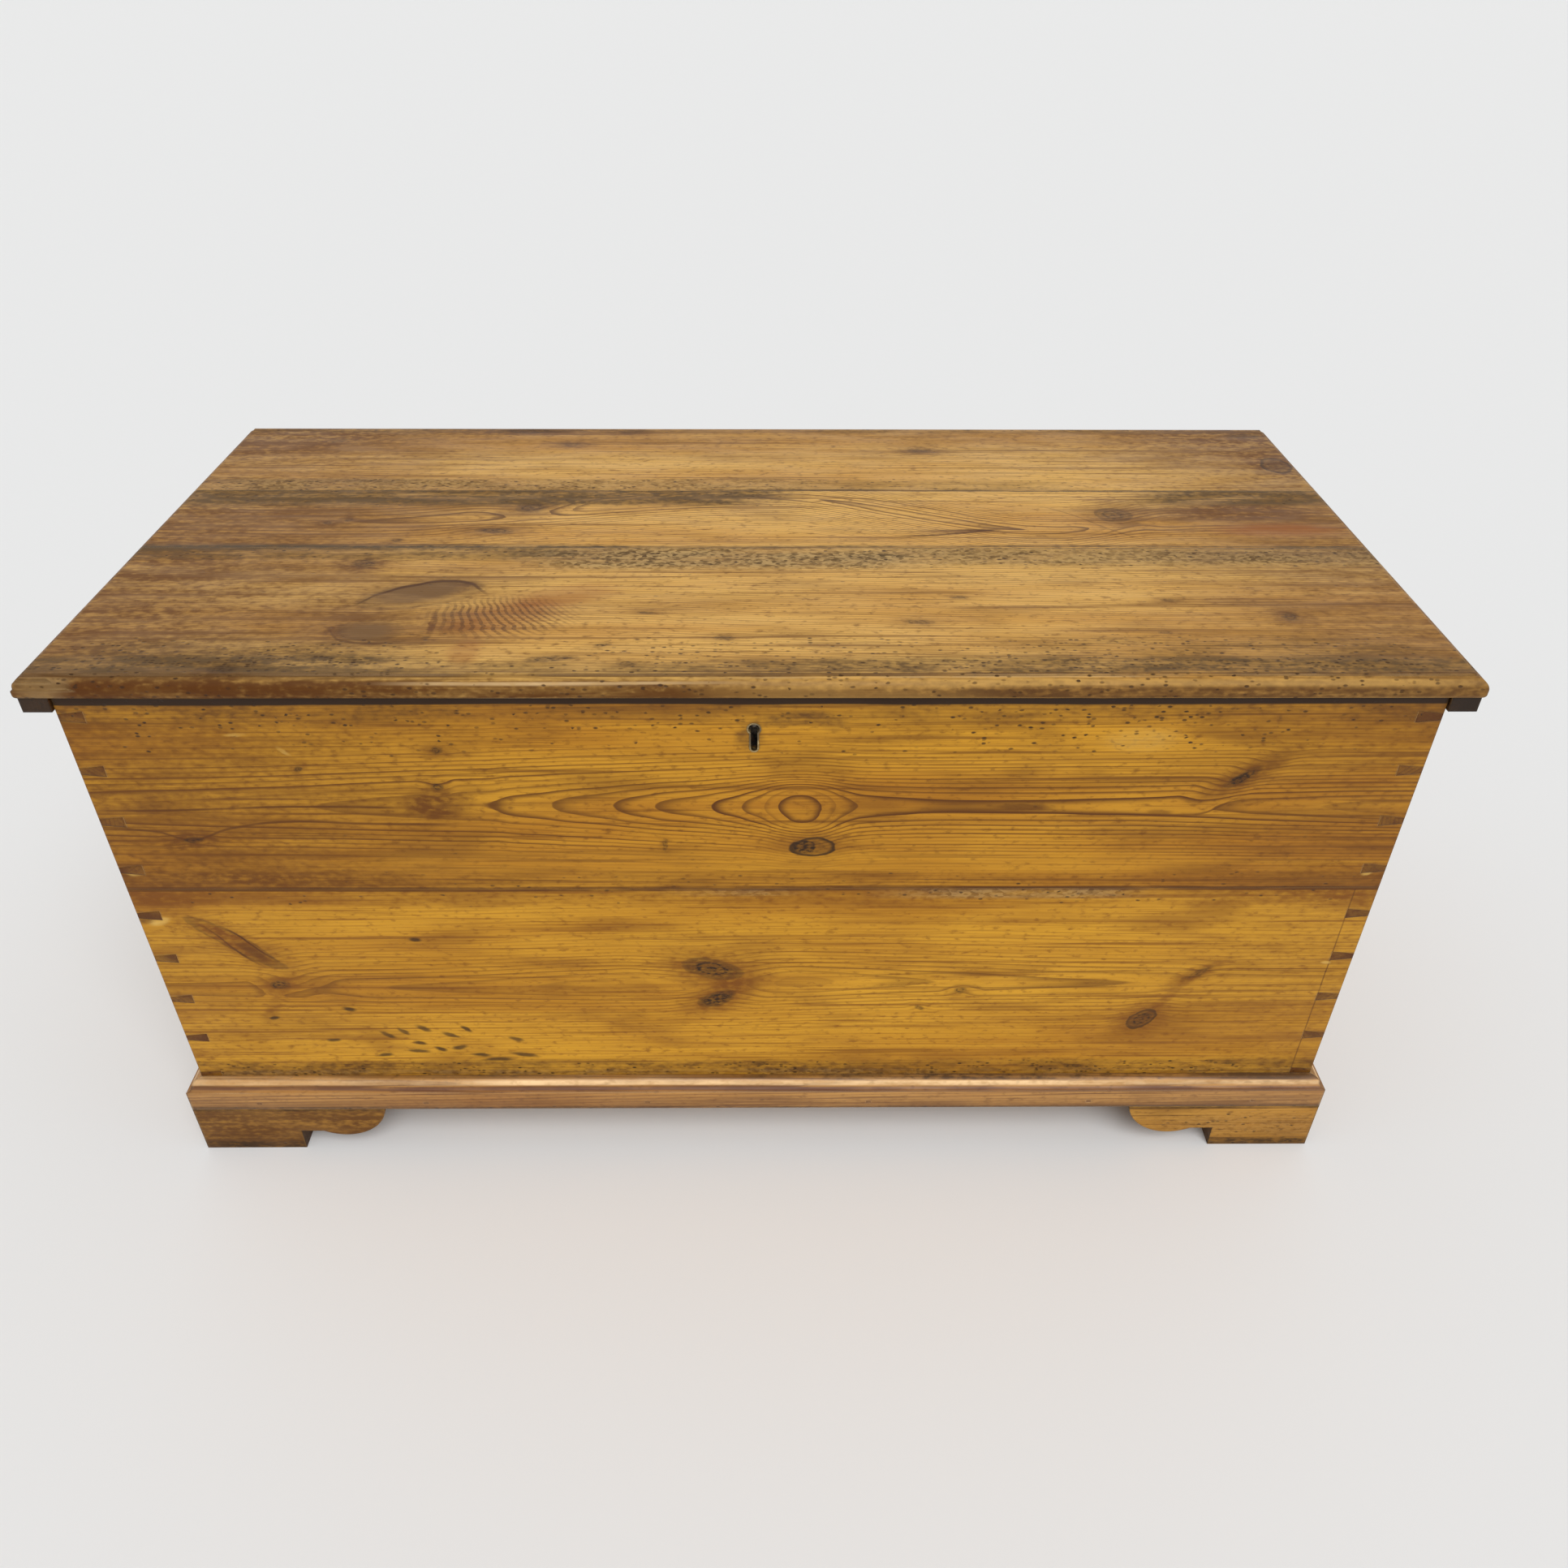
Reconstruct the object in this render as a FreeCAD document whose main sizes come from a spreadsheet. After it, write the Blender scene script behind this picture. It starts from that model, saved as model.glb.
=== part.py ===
"""A dovetailed pine blanket chest on bracket feet, with a hinged lid, a chest lock and a till.

The chest stands on z = 0 and faces -Y. X runs along its length, with x = 0 at the middle.
Lengths are millimetres.
"""
import FreeCAD, Part
import math
import os
import Sketcher

doc = FreeCAD.newDocument("BlanketChest")
sheet = doc.addObject("Spreadsheet::Sheet", "Sizes")

# Driving sizes, each written once. Names that end in count hold counts, all others hold lengths.
DRIVING = {
    # Lid of three boards, moulded on its front and ends
    "lid_width": "1106",
    "lid_depth": "524",
    "lid_thickness": "18",
    "lid_front_board_width": "227",
    "lid_middle_board_width": "128",
    "lid_front_overhang": "6",
    "lid_end_overhang": "24",
    "thumb_step": "1.6",
    "thumb_radius": "8.5",
    "thumb_under_radius": "4.5",
    # Old break in the lid's front left corner, in two steps along the grain
    "break_taper": "14",
    "break_upper_length": "40",
    "break_upper_depth": "6.5",
    "break_upper_level": "13",
    "break_lower_length": "54",
    "break_lower_depth": "3.2",
    "break_lower_level": "8",
    # Battens screwed under the lid's ends
    "batten_width": "22",
    "batten_height": "13",
    "batten_gap": "1.5",
    "batten_setback": "4",
    # Case boards and their dovetails
    "board_thickness": "20",
    "case_height": "441",
    "front_seam_height": "250",
    "side_seam_height": "194",
    "back_seam_height": "296",
    "pin_count": "9",
    "pin_margin": "19",
    "pin_width": "6",
    "pin_flare": "2.2",
    # Floor boards nailed under the case
    "floor_thickness": "16",
    "floor_front_board_width": "190",
    "floor_middle_board_width": "170",
    # Moulded skirt
    "skirt_height": "33",
    "skirt_ledge": "3",
    "skirt_bead_radius": "5",
    "skirt_cove_radius": "5",
    # Bracket feet and the blocks behind them
    "foot_height": "57",
    "foot_pad": "97",
    "foot_step": "25",
    "foot_fillet": "22",
    "foot_wing": "87",
    "foot_lobe_radius": "44",
    "bracket_thickness": "20",
    "rear_bracket_top": "120",
    "rear_bracket_toe": "70",
    "block_side": "40",
    "block_lift": "3",
    # Till, an open tray at the left end
    "till_width": "150",
    "till_height": "110",
    "till_drop": "30",
    "till_board": "9",
    "till_groove": "5",
    # Strap hinges
    "hinge_spacing": "640",
    "hinge_plate_width": "62",
    "hinge_plate_height": "66",
    "hinge_plate_corner": "7",
    "hinge_leaf": "2.5",
    "barrel_radius": "4.5",
    "barrel_gap": "0.5",
    "hinge_pin_radius": "2.2",
    "hinge_pin_proud": "1",
    "running_clearance": "0.05",
    "knuckle_gap": "0.4",
    "strap_width": "26",
    "strap_tip_width": "17",
    "strap_tip_radius": "6",
    "strap_length": "290",
    "strap_recess_clearance": "0.3",
    # Countersunk screws, one section in several lengths
    "screw_radius": "1.8",
    "screw_head_radius": "3.6",
    "screw_head_height": "1.8",
    "screw_slot_width": "0.9",
    "screw_slot_depth": "0.9",
    "screw_clearance": "0.15",
    "plate_screw_length": "14",
    "plate_screw_edge": "10",
    "strap_screw_length": "12",
    "batten_screw_length": "24",
    "lock_screw_length": "11",
    "lock_screw_edge": "4",
    "lock_screw_drop": "10",
    "striker_screw_length": "11",
    "striker_screw_edge": "5",
    # Cut nails
    "nail_length": "42",
    "nail_head_width": "4.5",
    "nail_head_depth": "2.6",
    "nail_tip_width": "2",
    "nail_tip_depth": "1.6",
    # Chest lock, let into the inside of the front under the rim
    "lock_plate_width": "88",
    "lock_plate_height": "66",
    "lock_plate_thickness": "2",
    "selvedge_width": "14",
    "lock_case_width": "71",
    "lock_case_height": "58",
    "lock_case_depth": "10",
    "lock_case_wall": "1.5",
    "lock_mortise_clearance": "0.3",
    "bolt_thickness": "4",
    "bolt_setback": "2",
    "bolt_slide_clearance": "0.2",
    "bolt_throw": "8",
    "bolt_bar_drop": "15.5",
    "bolt_bar_height": "6.5",
    "bolt_bar_tail": "10",
    "bolt_neck_width": "4",
    "bolt_neck_gap": "0.5",
    "bolt_notch_width": "7",
    "bolt_notch_depth": "3.5",
    "bolt_ledge_width": "7",
    "bolt_ledge_height": "3",
    "bolt_ledge_spacing": "44",
    "prong_drop": "6",
    "prong_height": "5",
    "prong_gap": "1",
    "spring_span": "18",
    "spring_radius": "12",
    "spring_thickness": "0.8",
    "spring_width": "3",
    "spring_gap": "0.5",
    "key_drop": "30",
    "drill_pin_radius": "1.8",
    "drill_pin_inset": "6",
    "keyhole_radius": "4.4",
    "keyhole_slot": "5.2",
    "keyhole_fall": "17.5",
    "liner_wall": "1.2",
    "liner_depth": "5",
    "liner_clearance": "0.1",
    # Striker under the lid, with two loops that drop into the lock
    "striker_width": "64",
    "striker_depth": "13",
    "striker_thickness": "2",
    "loop_spacing": "36",
    "loop_thickness": "4",
    "loop_width": "7",
    "loop_drop": "14",
    "loop_clearance": "0.4",
    "loop_window_clearance": "0.4",
    # How far every cutting shape runs past the face that it cuts
    "overrun": "2",
}
for row, (alias, number) in enumerate(DRIVING.items(), start=1):
    sheet.set(f"A{row}", alias)
    sheet.set(f"B{row}", number)
    sheet.setAlias(f"B{row}", alias)
doc.recompute()


class Size:
    """A length with the sheet expression that gives it and its present value."""

    def __init__(self, text, value):
        self.text = text
        self.value = value

    def combine(self, sign, other, value):
        return Size(f"({self.text} {sign} {as_size(other).text})", value)

    def __add__(self, other):
        return self.combine("+", other, self.value + as_size(other).value)

    def __sub__(self, other):
        return self.combine("-", other, self.value - as_size(other).value)

    def __mul__(self, other):
        return self.combine("*", other, self.value * as_size(other).value)

    def __truediv__(self, other):
        return self.combine("/", other, self.value / as_size(other).value)

    def __neg__(self):
        return self * -1


def as_size(number):
    """A plain number, such as zero or a divisor, as a Size."""
    if isinstance(number, Size):
        return number
    return Size(f"({number})", float(number))


class Sheet:
    """Each driving size by its alias, as an attribute."""

    def __getattr__(self, alias):
        return Size(f"Sizes.{alias}", float(sheet.get(alias)))


d = Sheet()
half = 0.5
pieces = []


def bind(thing, prop, size):
    thing.setExpression(prop, as_size(size).text)


def place(thing, frame, x=0, y=0, z=0):
    """Put a piece's own origin at a point of a frame, which is an (x, y, z) corner of the chest."""
    for axis, start, step in zip("xyz", frame, (x, y, z)):
        bind(thing, f"Placement.Base.{axis}", as_size(start) + step)


def keep(thing, label):
    """Mark a finished sub-part and give it the name of its file."""
    thing.Label = label
    pieces.append(thing)
    return thing


def new_body(name, frame):
    body = doc.addObject("PartDesign::Body", name)
    place(body, frame)
    return body


def line_or_arc(start, end, radius, turn):
    """A straight edge, or an arc of under a half circle that turns left (1) or right (-1)."""
    first = FreeCAD.Vector(*start, 0)
    last = FreeCAD.Vector(*end, 0)
    if radius is None:
        return Part.LineSegment(first, last)
    chord = last - first
    rise = math.sqrt(max(radius ** 2 - (chord.Length * half) ** 2, 0))
    left = FreeCAD.Vector(-chord.y, chord.x, 0).normalize()
    centre = (first + last) * half + left * rise * turn
    if turn < 0:
        first, last = last, first
    angles = [math.atan2(point.y - centre.y, point.x - centre.x) for point in (first, last)]
    circle = Part.Circle(centre, FreeCAD.Vector(0, 0, 1), radius)
    return Part.ArcOfCircle(circle, *angles)


def draw(sketch, corners):
    """Draw a closed outline whose corners are (x, y), or (x, y, radius, turn) before an arc."""
    count = len(corners)
    values = [[as_size(corner[0]).value, as_size(corner[1]).value] for corner in corners]
    base = sketch.GeometryCount
    ends = []
    for i, corner in enumerate(corners):
        radius, turn = corner[2:] if len(corner) > 2 else (None, 1)
        arc = None if radius is None else radius.value
        sketch.addGeometry(line_or_arc(values[i], values[(i + 1) % count], arc, turn), False)
        ends.append((2, 1) if turn < 0 else (1, 2))
        if radius is not None:
            index = sketch.addConstraint(Sketcher.Constraint("Radius", base + i, arc))
            bind(sketch, f"Constraints[{index}]", radius)
    for i, corner in enumerate(corners):
        j = (i + 1) % count
        sketch.addConstraint(Sketcher.Constraint("Coincident", base + i, ends[i][1], base + j, ends[j][0]))
        for kind, value, size in zip(("DistanceX", "DistanceY"), values[i], corner):
            rule = Sketcher.Constraint(kind, -1, 1, base + i, ends[i][0], value)
            bind(sketch, f"Constraints[{sketch.addConstraint(rule)}]", size)


PLANES = {"x": "YZ_Plane", "y": "XZ_Plane", "z": "XY_Plane"}


def extrude(body, kind, axis, start, end, *outlines):
    """Pad or pocket outlines of the body from start to end along an axis of the body."""
    sketch = body.newObject("Sketcher::SketchObject", "Outline")
    plane = next(item for item in body.Origin.OriginFeatures if item.Role == PLANES[axis])
    sketch.AttachmentSupport = (plane, "")
    sketch.MapMode = "FlatFace"
    # The XZ plane's normal is -Y. A pad grows along the normal and a pocket cuts against it.
    along = (kind == "Pad") != (axis == "y")
    base = as_size(start if along else end)
    bind(sketch, "AttachmentOffset.Base.z", -base if axis == "y" else base)
    for corners in outlines:
        draw(sketch, corners)
    doc.recompute()
    before = body.Shape.Volume if kind == "Pocket" else 0
    feature = body.newObject(f"PartDesign::{kind}", kind)
    feature.Profile = sketch
    bind(feature, "Length", as_size(end) - start)
    sketch.Visibility = False
    doc.recompute()
    if kind == "Pocket" and body.Shape.Volume >= before:
        raise RuntimeError(f"a pocket in {body.Label} cuts nothing")
    return feature


def repeat(body, feature, span, count):
    """Repeat a feature upwards over a span."""
    pattern = body.newObject("PartDesign::LinearPattern", "Repeat")
    pattern.Originals = [feature]
    upright = next(item for item in body.Origin.OriginFeatures if item.Role == "Z_Axis")
    pattern.Direction = (upright, [""])
    bind(pattern, "Length", span)
    bind(pattern, "Occurrences", count)
    body.Tip = pattern
    doc.recompute()


def rectangle(x0, x1, y0, y1):
    return [(x0, y0), (x1, y0), (x1, y1), (x0, y1)]


def box(name, frame, x0, x1, y0, y1, z0, z1):
    block = doc.addObject("Part::Box", name)
    for prop, low, high in (("Length", x0, x1), ("Width", y0, y1), ("Height", z0, z1)):
        bind(block, prop, as_size(high) - low)
    place(block, frame, x0, y0, z0)
    return block


def cylinder(name, frame, turn, radius, length, x=0, y=0, z=0):
    rod = doc.addObject("Part::Cylinder", name)
    rod.Placement.Rotation = turn
    bind(rod, "Radius", radius)
    bind(rod, "Height", length)
    place(rod, frame, x, y, z)
    return rod


def fuse(name, shapes):
    whole = doc.addObject("Part::MultiFuse", name)
    whole.Shapes = shapes
    return whole


def cut(name, base, tools):
    """One shape less a list of others."""
    cutters = doc.addObject("Part::Compound", "Cutters")
    cutters.Links = tools
    result = doc.addObject("Part::Cut", name)
    result.Base = base
    result.Tool = cutters
    return result


def group(label, shapes):
    """Like pieces, such as screws, kept together as one sub-part of separate solids."""
    whole = doc.addObject("Part::Compound", "Group")
    whole.Links = shapes
    return keep(whole, label)


UPWARDS = FreeCAD.Rotation()
FORWARDS = FreeCAD.Rotation(FreeCAD.Vector(1, 0, 0), 90)
BACKWARDS = FreeCAD.Rotation(FreeCAD.Vector(1, 0, 0), -90)
RIGHTWARDS = FreeCAD.Rotation(FreeCAD.Vector(0, 1, 0), 90)

# Sizes and corners that several pieces share
case_width = d.lid_width - d.lid_end_overhang * 2
case_depth = d.lid_depth - d.lid_front_overhang
case_end = case_width * half
inside_end = case_end - d.board_thickness
inside_back = case_depth - d.board_thickness
barrel_offset = d.barrel_radius + d.barrel_gap
case_bottom = d.foot_height + d.floor_thickness
rim = case_bottom + d.case_height
skirt_thickness = d.skirt_ledge + d.skirt_bead_radius + d.skirt_cove_radius
skirt_end = case_end + skirt_thickness
# The chest reaches from the skirt's face to the back of the hinge barrels, with y = 0 halfway
case_front = (skirt_thickness - case_depth - barrel_offset - d.barrel_radius) * half
lid_front = case_front - d.lid_front_overhang

BASE = (0, case_front, 0)
CASE = (0, case_front, case_bottom)
LID = (0, lid_front, rim)
LOCK = (0, case_front + d.board_thickness, rim)
HINGES = {
    "left": (-d.hinge_spacing * half, case_front + case_depth + barrel_offset, rim),
    "right": (d.hinge_spacing * half, case_front + case_depth + barrel_offset, rim),
}


# Screws: a slotted countersunk head and a shank, pointing up, forwards (-Y) or as the piece needs
slot_turn_degrees = 40


def screws(label, length, turn, places):
    """A group of screws at (frame, x, y, z) places, and the slightly larger holes that take them."""
    reach = d.screw_head_radius + d.overrun
    side = d.screw_slot_width * half
    slot = box("ScrewSlot", (0, 0, 0), -reach, reach, -side, side, -d.overrun, d.screw_slot_depth)
    made = {}
    for kind, spare in (("Screw", 0), ("Hole", d.screw_clearance)):
        head = doc.addObject("Part::Cone", f"{kind}Head")
        bind(head, "Radius1", d.screw_head_radius + spare)
        bind(head, "Radius2", d.screw_radius + spare)
        bind(head, "Height", d.screw_head_height)
        shank = cylinder(f"{kind}Shank", (0, 0, 0), UPWARDS, d.screw_radius + spare, length + spare)
        made[kind] = []
        for index, (frame, x, y, z) in enumerate(places):
            screw = doc.addObject("Part::Fuse", kind)
            screw.Base = head
            screw.Tool = shank
            if kind == "Screw":
                screw = cut("SlottedScrew", screw, [slot])
            slot_turn = FreeCAD.Rotation(FreeCAD.Vector(0, 0, 1), slot_turn_degrees * index)
            screw.Placement.Rotation = turn * slot_turn
            place(screw, frame, x, y, z)
            made[kind].append(screw)
    group(label, made["Screw"])
    return made["Hole"]


# Cut nails: a tapering rectangular shank that fills its own hole
def nails(label, places):
    """A group of nails at (frame, turn, x, y, z) places, driven along their turned +Y."""
    driven = []
    head = ("X", "Z", d.nail_head_width, d.nail_head_depth)
    tip = ("X2", "Z2", d.nail_tip_width, d.nail_tip_depth)
    for frame, turn, x, y, z in places:
        nail = doc.addObject("Part::Wedge", "Nail")
        for across, deep, width, depth in (head, tip):
            bind(nail, f"{across}min", -width * half)
            bind(nail, f"{across}max", width * half)
            bind(nail, f"{deep}min", -depth * half)
            bind(nail, f"{deep}max", depth * half)
        bind(nail, "Ymin", 0)
        bind(nail, "Ymax", d.nail_length)
        nail.Placement.Rotation = turn
        place(nail, frame, x, y, z)
        driven.append(nail)
    return group(label, driven)


# Places along the walls, as shares of the case's width from its middle or of its depth from the front
floor_nail_width_shares = (-0.4, -0.2, 0, 0.2, 0.4)
floor_nail_depth_shares = (0.17, 0.5, 0.83)
skirt_nail_width_shares = (-0.45, -0.3, -0.1, 0.1, 0.3, 0.45)
skirt_nail_depth_shares = (0.1, 0.28, 0.62, 0.92)

wall_middle = d.board_thickness * half
nail_up = FORWARDS
nail_in = UPWARDS
nail_right = FreeCAD.Rotation(FreeCAD.Vector(0, 0, 1), -90)
nail_left = FreeCAD.Rotation(FreeCAD.Vector(0, 0, 1), 90)
floor_nail_places = []
for share in floor_nail_width_shares:
    for y in (wall_middle, case_depth - wall_middle):
        floor_nail_places.append((BASE, nail_up, case_width * share, y, d.foot_height))
for share in floor_nail_depth_shares:
    for x in (wall_middle - case_end, case_end - wall_middle):
        floor_nail_places.append((BASE, nail_up, x, case_depth * share, d.foot_height))
floor_nails = nails("floor_nails", floor_nail_places)

skirt_nail_height = d.foot_height + d.floor_thickness * half
skirt_nail_places = []
for share in skirt_nail_width_shares:
    skirt_nail_places.append((BASE, nail_in, case_width * share, -skirt_thickness, skirt_nail_height))
for share in skirt_nail_depth_shares:
    skirt_nail_places.append((BASE, nail_right, -skirt_end, case_depth * share, skirt_nail_height))
    skirt_nail_places.append((BASE, nail_left, skirt_end, case_depth * share, skirt_nail_height))
skirt_nails = nails("skirt_nails", skirt_nail_places)


# Till: a front and a bottom housed in grooves in the chest's front and back
till_floor = d.case_height - d.till_drop - d.till_height
till_right = d.till_width - inside_end
till_y0 = d.board_thickness - d.till_groove
till_y1 = inside_back + d.till_groove
till_front = box("TillFront", CASE, till_right, till_right + d.till_board, till_y0, till_y1,
                 till_floor, till_floor + d.till_height)
till_bottom = box("TillBottom", CASE, -inside_end, till_right, till_y0, till_y1,
                  till_floor, till_floor + d.till_board)
till = [keep(till_front, "till_front"), keep(till_bottom, "till_bottom")]


# Lock: the plate and its selvedge, a shallow case, a two-pronged bolt with its spring, and a drill pin
def keyhole(name, grow, start, end):
    """A keyhole, round above and a rounded slot below, from start to end in front of the lock plate."""
    length = as_size(end) - start
    slot = d.keyhole_slot * half + grow
    top = cylinder(f"{name}Round", LOCK, BACKWARDS, d.keyhole_radius + grow, length, 0, start, -d.key_drop)
    foot = -d.key_drop - d.keyhole_fall
    middle = box(f"{name}Slot", LOCK, -slot, slot, start, end, foot, -d.key_drop)
    bottom = cylinder(f"{name}Foot", LOCK, BACKWARDS, slot, length, 0, start, foot)
    return fuse(name, [top, middle, bottom])


plate_half = d.lock_plate_width * half
lock_half = d.lock_case_width * half
lock_inside = lock_half - d.lock_case_wall
lock_front = -d.lock_plate_thickness - d.lock_case_depth
bolt_back = -d.lock_plate_thickness - d.bolt_setback
bolt_front = bolt_back - d.bolt_thickness
bolt_middle = bolt_back - d.bolt_thickness * half
bar_top = -d.bolt_bar_drop
bar_bottom = bar_top - d.bolt_bar_height
loop_places = (-d.loop_spacing * half, d.loop_spacing * half)


def loop_box(x, spare):
    """The plan of one striker loop, or of the slot that clears it."""
    across = d.loop_thickness * half + spare
    deep = d.loop_width * half + spare
    return rectangle(x - across, x + across, bolt_middle - deep, bolt_middle + deep)


lock_screw_x = plate_half - d.lock_screw_edge
lock_screw_low = d.lock_screw_drop - d.lock_plate_height
lock_screw_places = []
for x in (-lock_screw_x, lock_screw_x):
    for z in (-d.lock_screw_drop, lock_screw_low):
        lock_screw_places.append((LOCK, x, 0, z))
lock_screw_holes = screws("lock_screws", d.lock_screw_length, FORWARDS, lock_screw_places)

plate = new_body("LockPlate", LOCK)
extrude(plate, "Pad", "x", -plate_half, plate_half, [
    (-d.lock_plate_thickness, -d.lock_plate_height),
    (0, -d.lock_plate_height),
    (0, 0),
    (-d.selvedge_width, 0),
    (-d.selvedge_width, -d.lock_plate_thickness),
    (-d.lock_plate_thickness, -d.lock_plate_thickness),
])
# A rail behind the bolt, and two ledges under it, on which the bolt slides
extrude(plate, "Pad", "y", bolt_back + d.bolt_slide_clearance, -d.lock_plate_thickness,
        rectangle(-lock_inside + d.lock_case_wall, lock_inside - d.lock_case_wall, bar_bottom, bar_top))
ledge_top = bar_bottom - d.bolt_slide_clearance
ledges = []
for x in (-d.bolt_ledge_spacing * half, d.bolt_ledge_spacing * half):
    reach = d.bolt_ledge_width * half
    ledges.append(rectangle(x - reach, x + reach, ledge_top - d.bolt_ledge_height, ledge_top))
extrude(plate, "Pad", "y", bolt_front, -d.lock_plate_thickness, *ledges)
extrude(plate, "Pocket", "z", -d.lock_plate_thickness, d.overrun,
        *[loop_box(x, d.loop_clearance) for x in loop_places])
keep(cut("LockPlateDrilled", plate, lock_screw_holes), "lock_plate")

case = new_body("LockCase", LOCK)
lock_floor = -d.lock_plate_thickness - d.lock_case_height
extrude(case, "Pad", "y", lock_front, -d.lock_plate_thickness,
        rectangle(-lock_half, lock_half, lock_floor, -d.lock_plate_thickness))
extrude(case, "Pocket", "y", lock_front + d.lock_case_wall, d.overrun,
        rectangle(-lock_inside, lock_inside, lock_floor + d.lock_case_wall, d.overrun))
lock_keyhole = keyhole("LockKeyhole", 0, lock_front - d.overrun, -d.lock_plate_thickness)
keep(cut("LockCasePierced", case, [lock_keyhole]), "lock_case")

loop_left = (d.loop_spacing - d.loop_thickness) * half
neck_right = loop_left - d.bolt_throw - d.bolt_neck_gap
neck_left = neck_right - d.bolt_neck_width
prong_tip = loop_left - d.prong_gap
prong_top = -d.prong_drop
prong_bottom = prong_top - d.prong_height
bar_left = neck_left - d.loop_spacing
bar_right = neck_right + d.bolt_bar_tail
notch_left = -(d.bolt_throw + d.bolt_notch_width) * half
notch_right = notch_left + d.bolt_notch_width
notch_top = bar_bottom + d.bolt_notch_depth
bolt = new_body("LockBolt", LOCK)
extrude(bolt, "Pad", "y", bolt_front, bolt_back, [
    (bar_left, bar_bottom),
    (notch_left, bar_bottom),
    (notch_left, notch_top),
    (notch_right, notch_top),
    (notch_right, bar_bottom),
    (bar_right, bar_bottom),
    (bar_right, bar_top),
    (neck_right, bar_top),
    (neck_right, prong_bottom),
    (prong_tip, prong_bottom),
    (prong_tip, prong_top),
    (neck_left, prong_top),
    (neck_left, bar_top),
    (neck_right - d.loop_spacing, bar_top),
    (neck_right - d.loop_spacing, prong_bottom),
    (prong_tip - d.loop_spacing, prong_bottom),
    (prong_tip - d.loop_spacing, prong_top),
    (bar_left, prong_top),
])
keep(bolt, "lock_bolt")

spring = new_body("LockSpring", LOCK)
spring_right = neck_left - d.spring_gap
spring_left = spring_right - d.spring_span
extrude(spring, "Pad", "y", bolt_middle - d.spring_width * half, bolt_middle + d.spring_width * half, [
    (spring_right, bar_top, d.spring_radius, 1),
    (spring_left, bar_top),
    (spring_left + d.spring_thickness, bar_top, d.spring_radius, -1),
    (spring_right - d.spring_thickness, bar_top),
])
keep(spring, "lock_spring")

drill_pin_length = d.board_thickness - d.drill_pin_inset - d.lock_plate_thickness
drill_pin = cylinder("DrillPin", LOCK, FORWARDS, d.drill_pin_radius, drill_pin_length,
                     0, -d.lock_plate_thickness, -d.key_drop)
keep(drill_pin, "lock_drill_pin")

# Keyhole liner: a thin brass thread let into the face of the front
liner_end = d.liner_depth - d.board_thickness
liner = cut("Liner", keyhole("LinerOuter", d.liner_wall, -d.board_thickness, liner_end),
            [keyhole("LinerBore", 0, -d.board_thickness - d.overrun, liner_end + d.overrun)])
keep(liner, "keyhole_liner")

mortise = d.lock_mortise_clearance
lock_cutters = lock_screw_holes + [
    box("LockMortise", LOCK, -lock_half - mortise, lock_half + mortise, lock_front - mortise, d.overrun,
        lock_floor - mortise, d.overrun),
    box("PlateRecess", LOCK, -plate_half, plate_half, -d.lock_plate_thickness, d.overrun,
        -d.lock_plate_height, d.overrun),
    box("SelvedgeRecess", LOCK, -plate_half, plate_half, -d.selvedge_width, d.overrun,
        -d.lock_plate_thickness, d.overrun),
    keyhole("LinerHole", d.liner_wall + d.liner_clearance, -d.board_thickness - d.overrun, lock_front),
]

# Striker: a plate let into the lid's underside, with two loops for the bolt's prongs
striker_half = d.striker_width * half
striker_y0 = bolt_middle - d.striker_depth * half
striker_y1 = bolt_middle + d.striker_depth * half
striker = new_body("Striker", LOCK)
extrude(striker, "Pad", "z", 0, d.striker_thickness,
        rectangle(-striker_half, striker_half, striker_y0, striker_y1))
extrude(striker, "Pad", "z", -d.loop_drop, 0, *[loop_box(x, 0) for x in loop_places])
window = d.bolt_thickness * half + d.loop_window_clearance
extrude(striker, "Pocket", "x", -striker_half, striker_half,
        rectangle(bolt_middle - window, bolt_middle + window,
                  prong_bottom - d.loop_window_clearance, prong_top + d.loop_window_clearance))
striker_screw_x = striker_half - d.striker_screw_edge
striker_holes = screws("striker_screws", d.striker_screw_length, UPWARDS,
                       [(LOCK, -striker_screw_x, bolt_middle, 0), (LOCK, striker_screw_x, bolt_middle, 0)])
keep(cut("StrikerDrilled", striker, striker_holes), "striker_plate")
striker_recess = box("StrikerRecess", LOCK, -striker_half, striker_half, striker_y0, striker_y1,
                     -d.overrun, d.striker_thickness)


# Hinges: a plate on the outside of the back, a tapered strap under the lid, and a loose-fitting pin
def strap_outline(grow):
    """The strap in plan, from the barrel's axis to its rounded tip."""
    root = d.strap_width * half + grow
    tip = d.strap_tip_width * half + grow
    end = -d.strap_length - grow
    corner = d.strap_tip_radius
    return [
        (-root, 0),
        (-tip, end + corner, corner, 1),
        (corner - tip, end),
        (tip - corner, end, corner, 1),
        (tip, end + corner),
        (root, 0),
    ]


def plate_outline():
    """The hinge plate on the back, with rounded lower corners."""
    side = d.hinge_plate_width * half
    low = -d.hinge_plate_height
    corner = d.hinge_plate_corner
    return [
        (-side, low + corner, corner, 1),
        (corner - side, low),
        (side - corner, low, corner, 1),
        (side, low + corner),
        (side, 0),
        (-side, 0),
    ]


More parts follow.
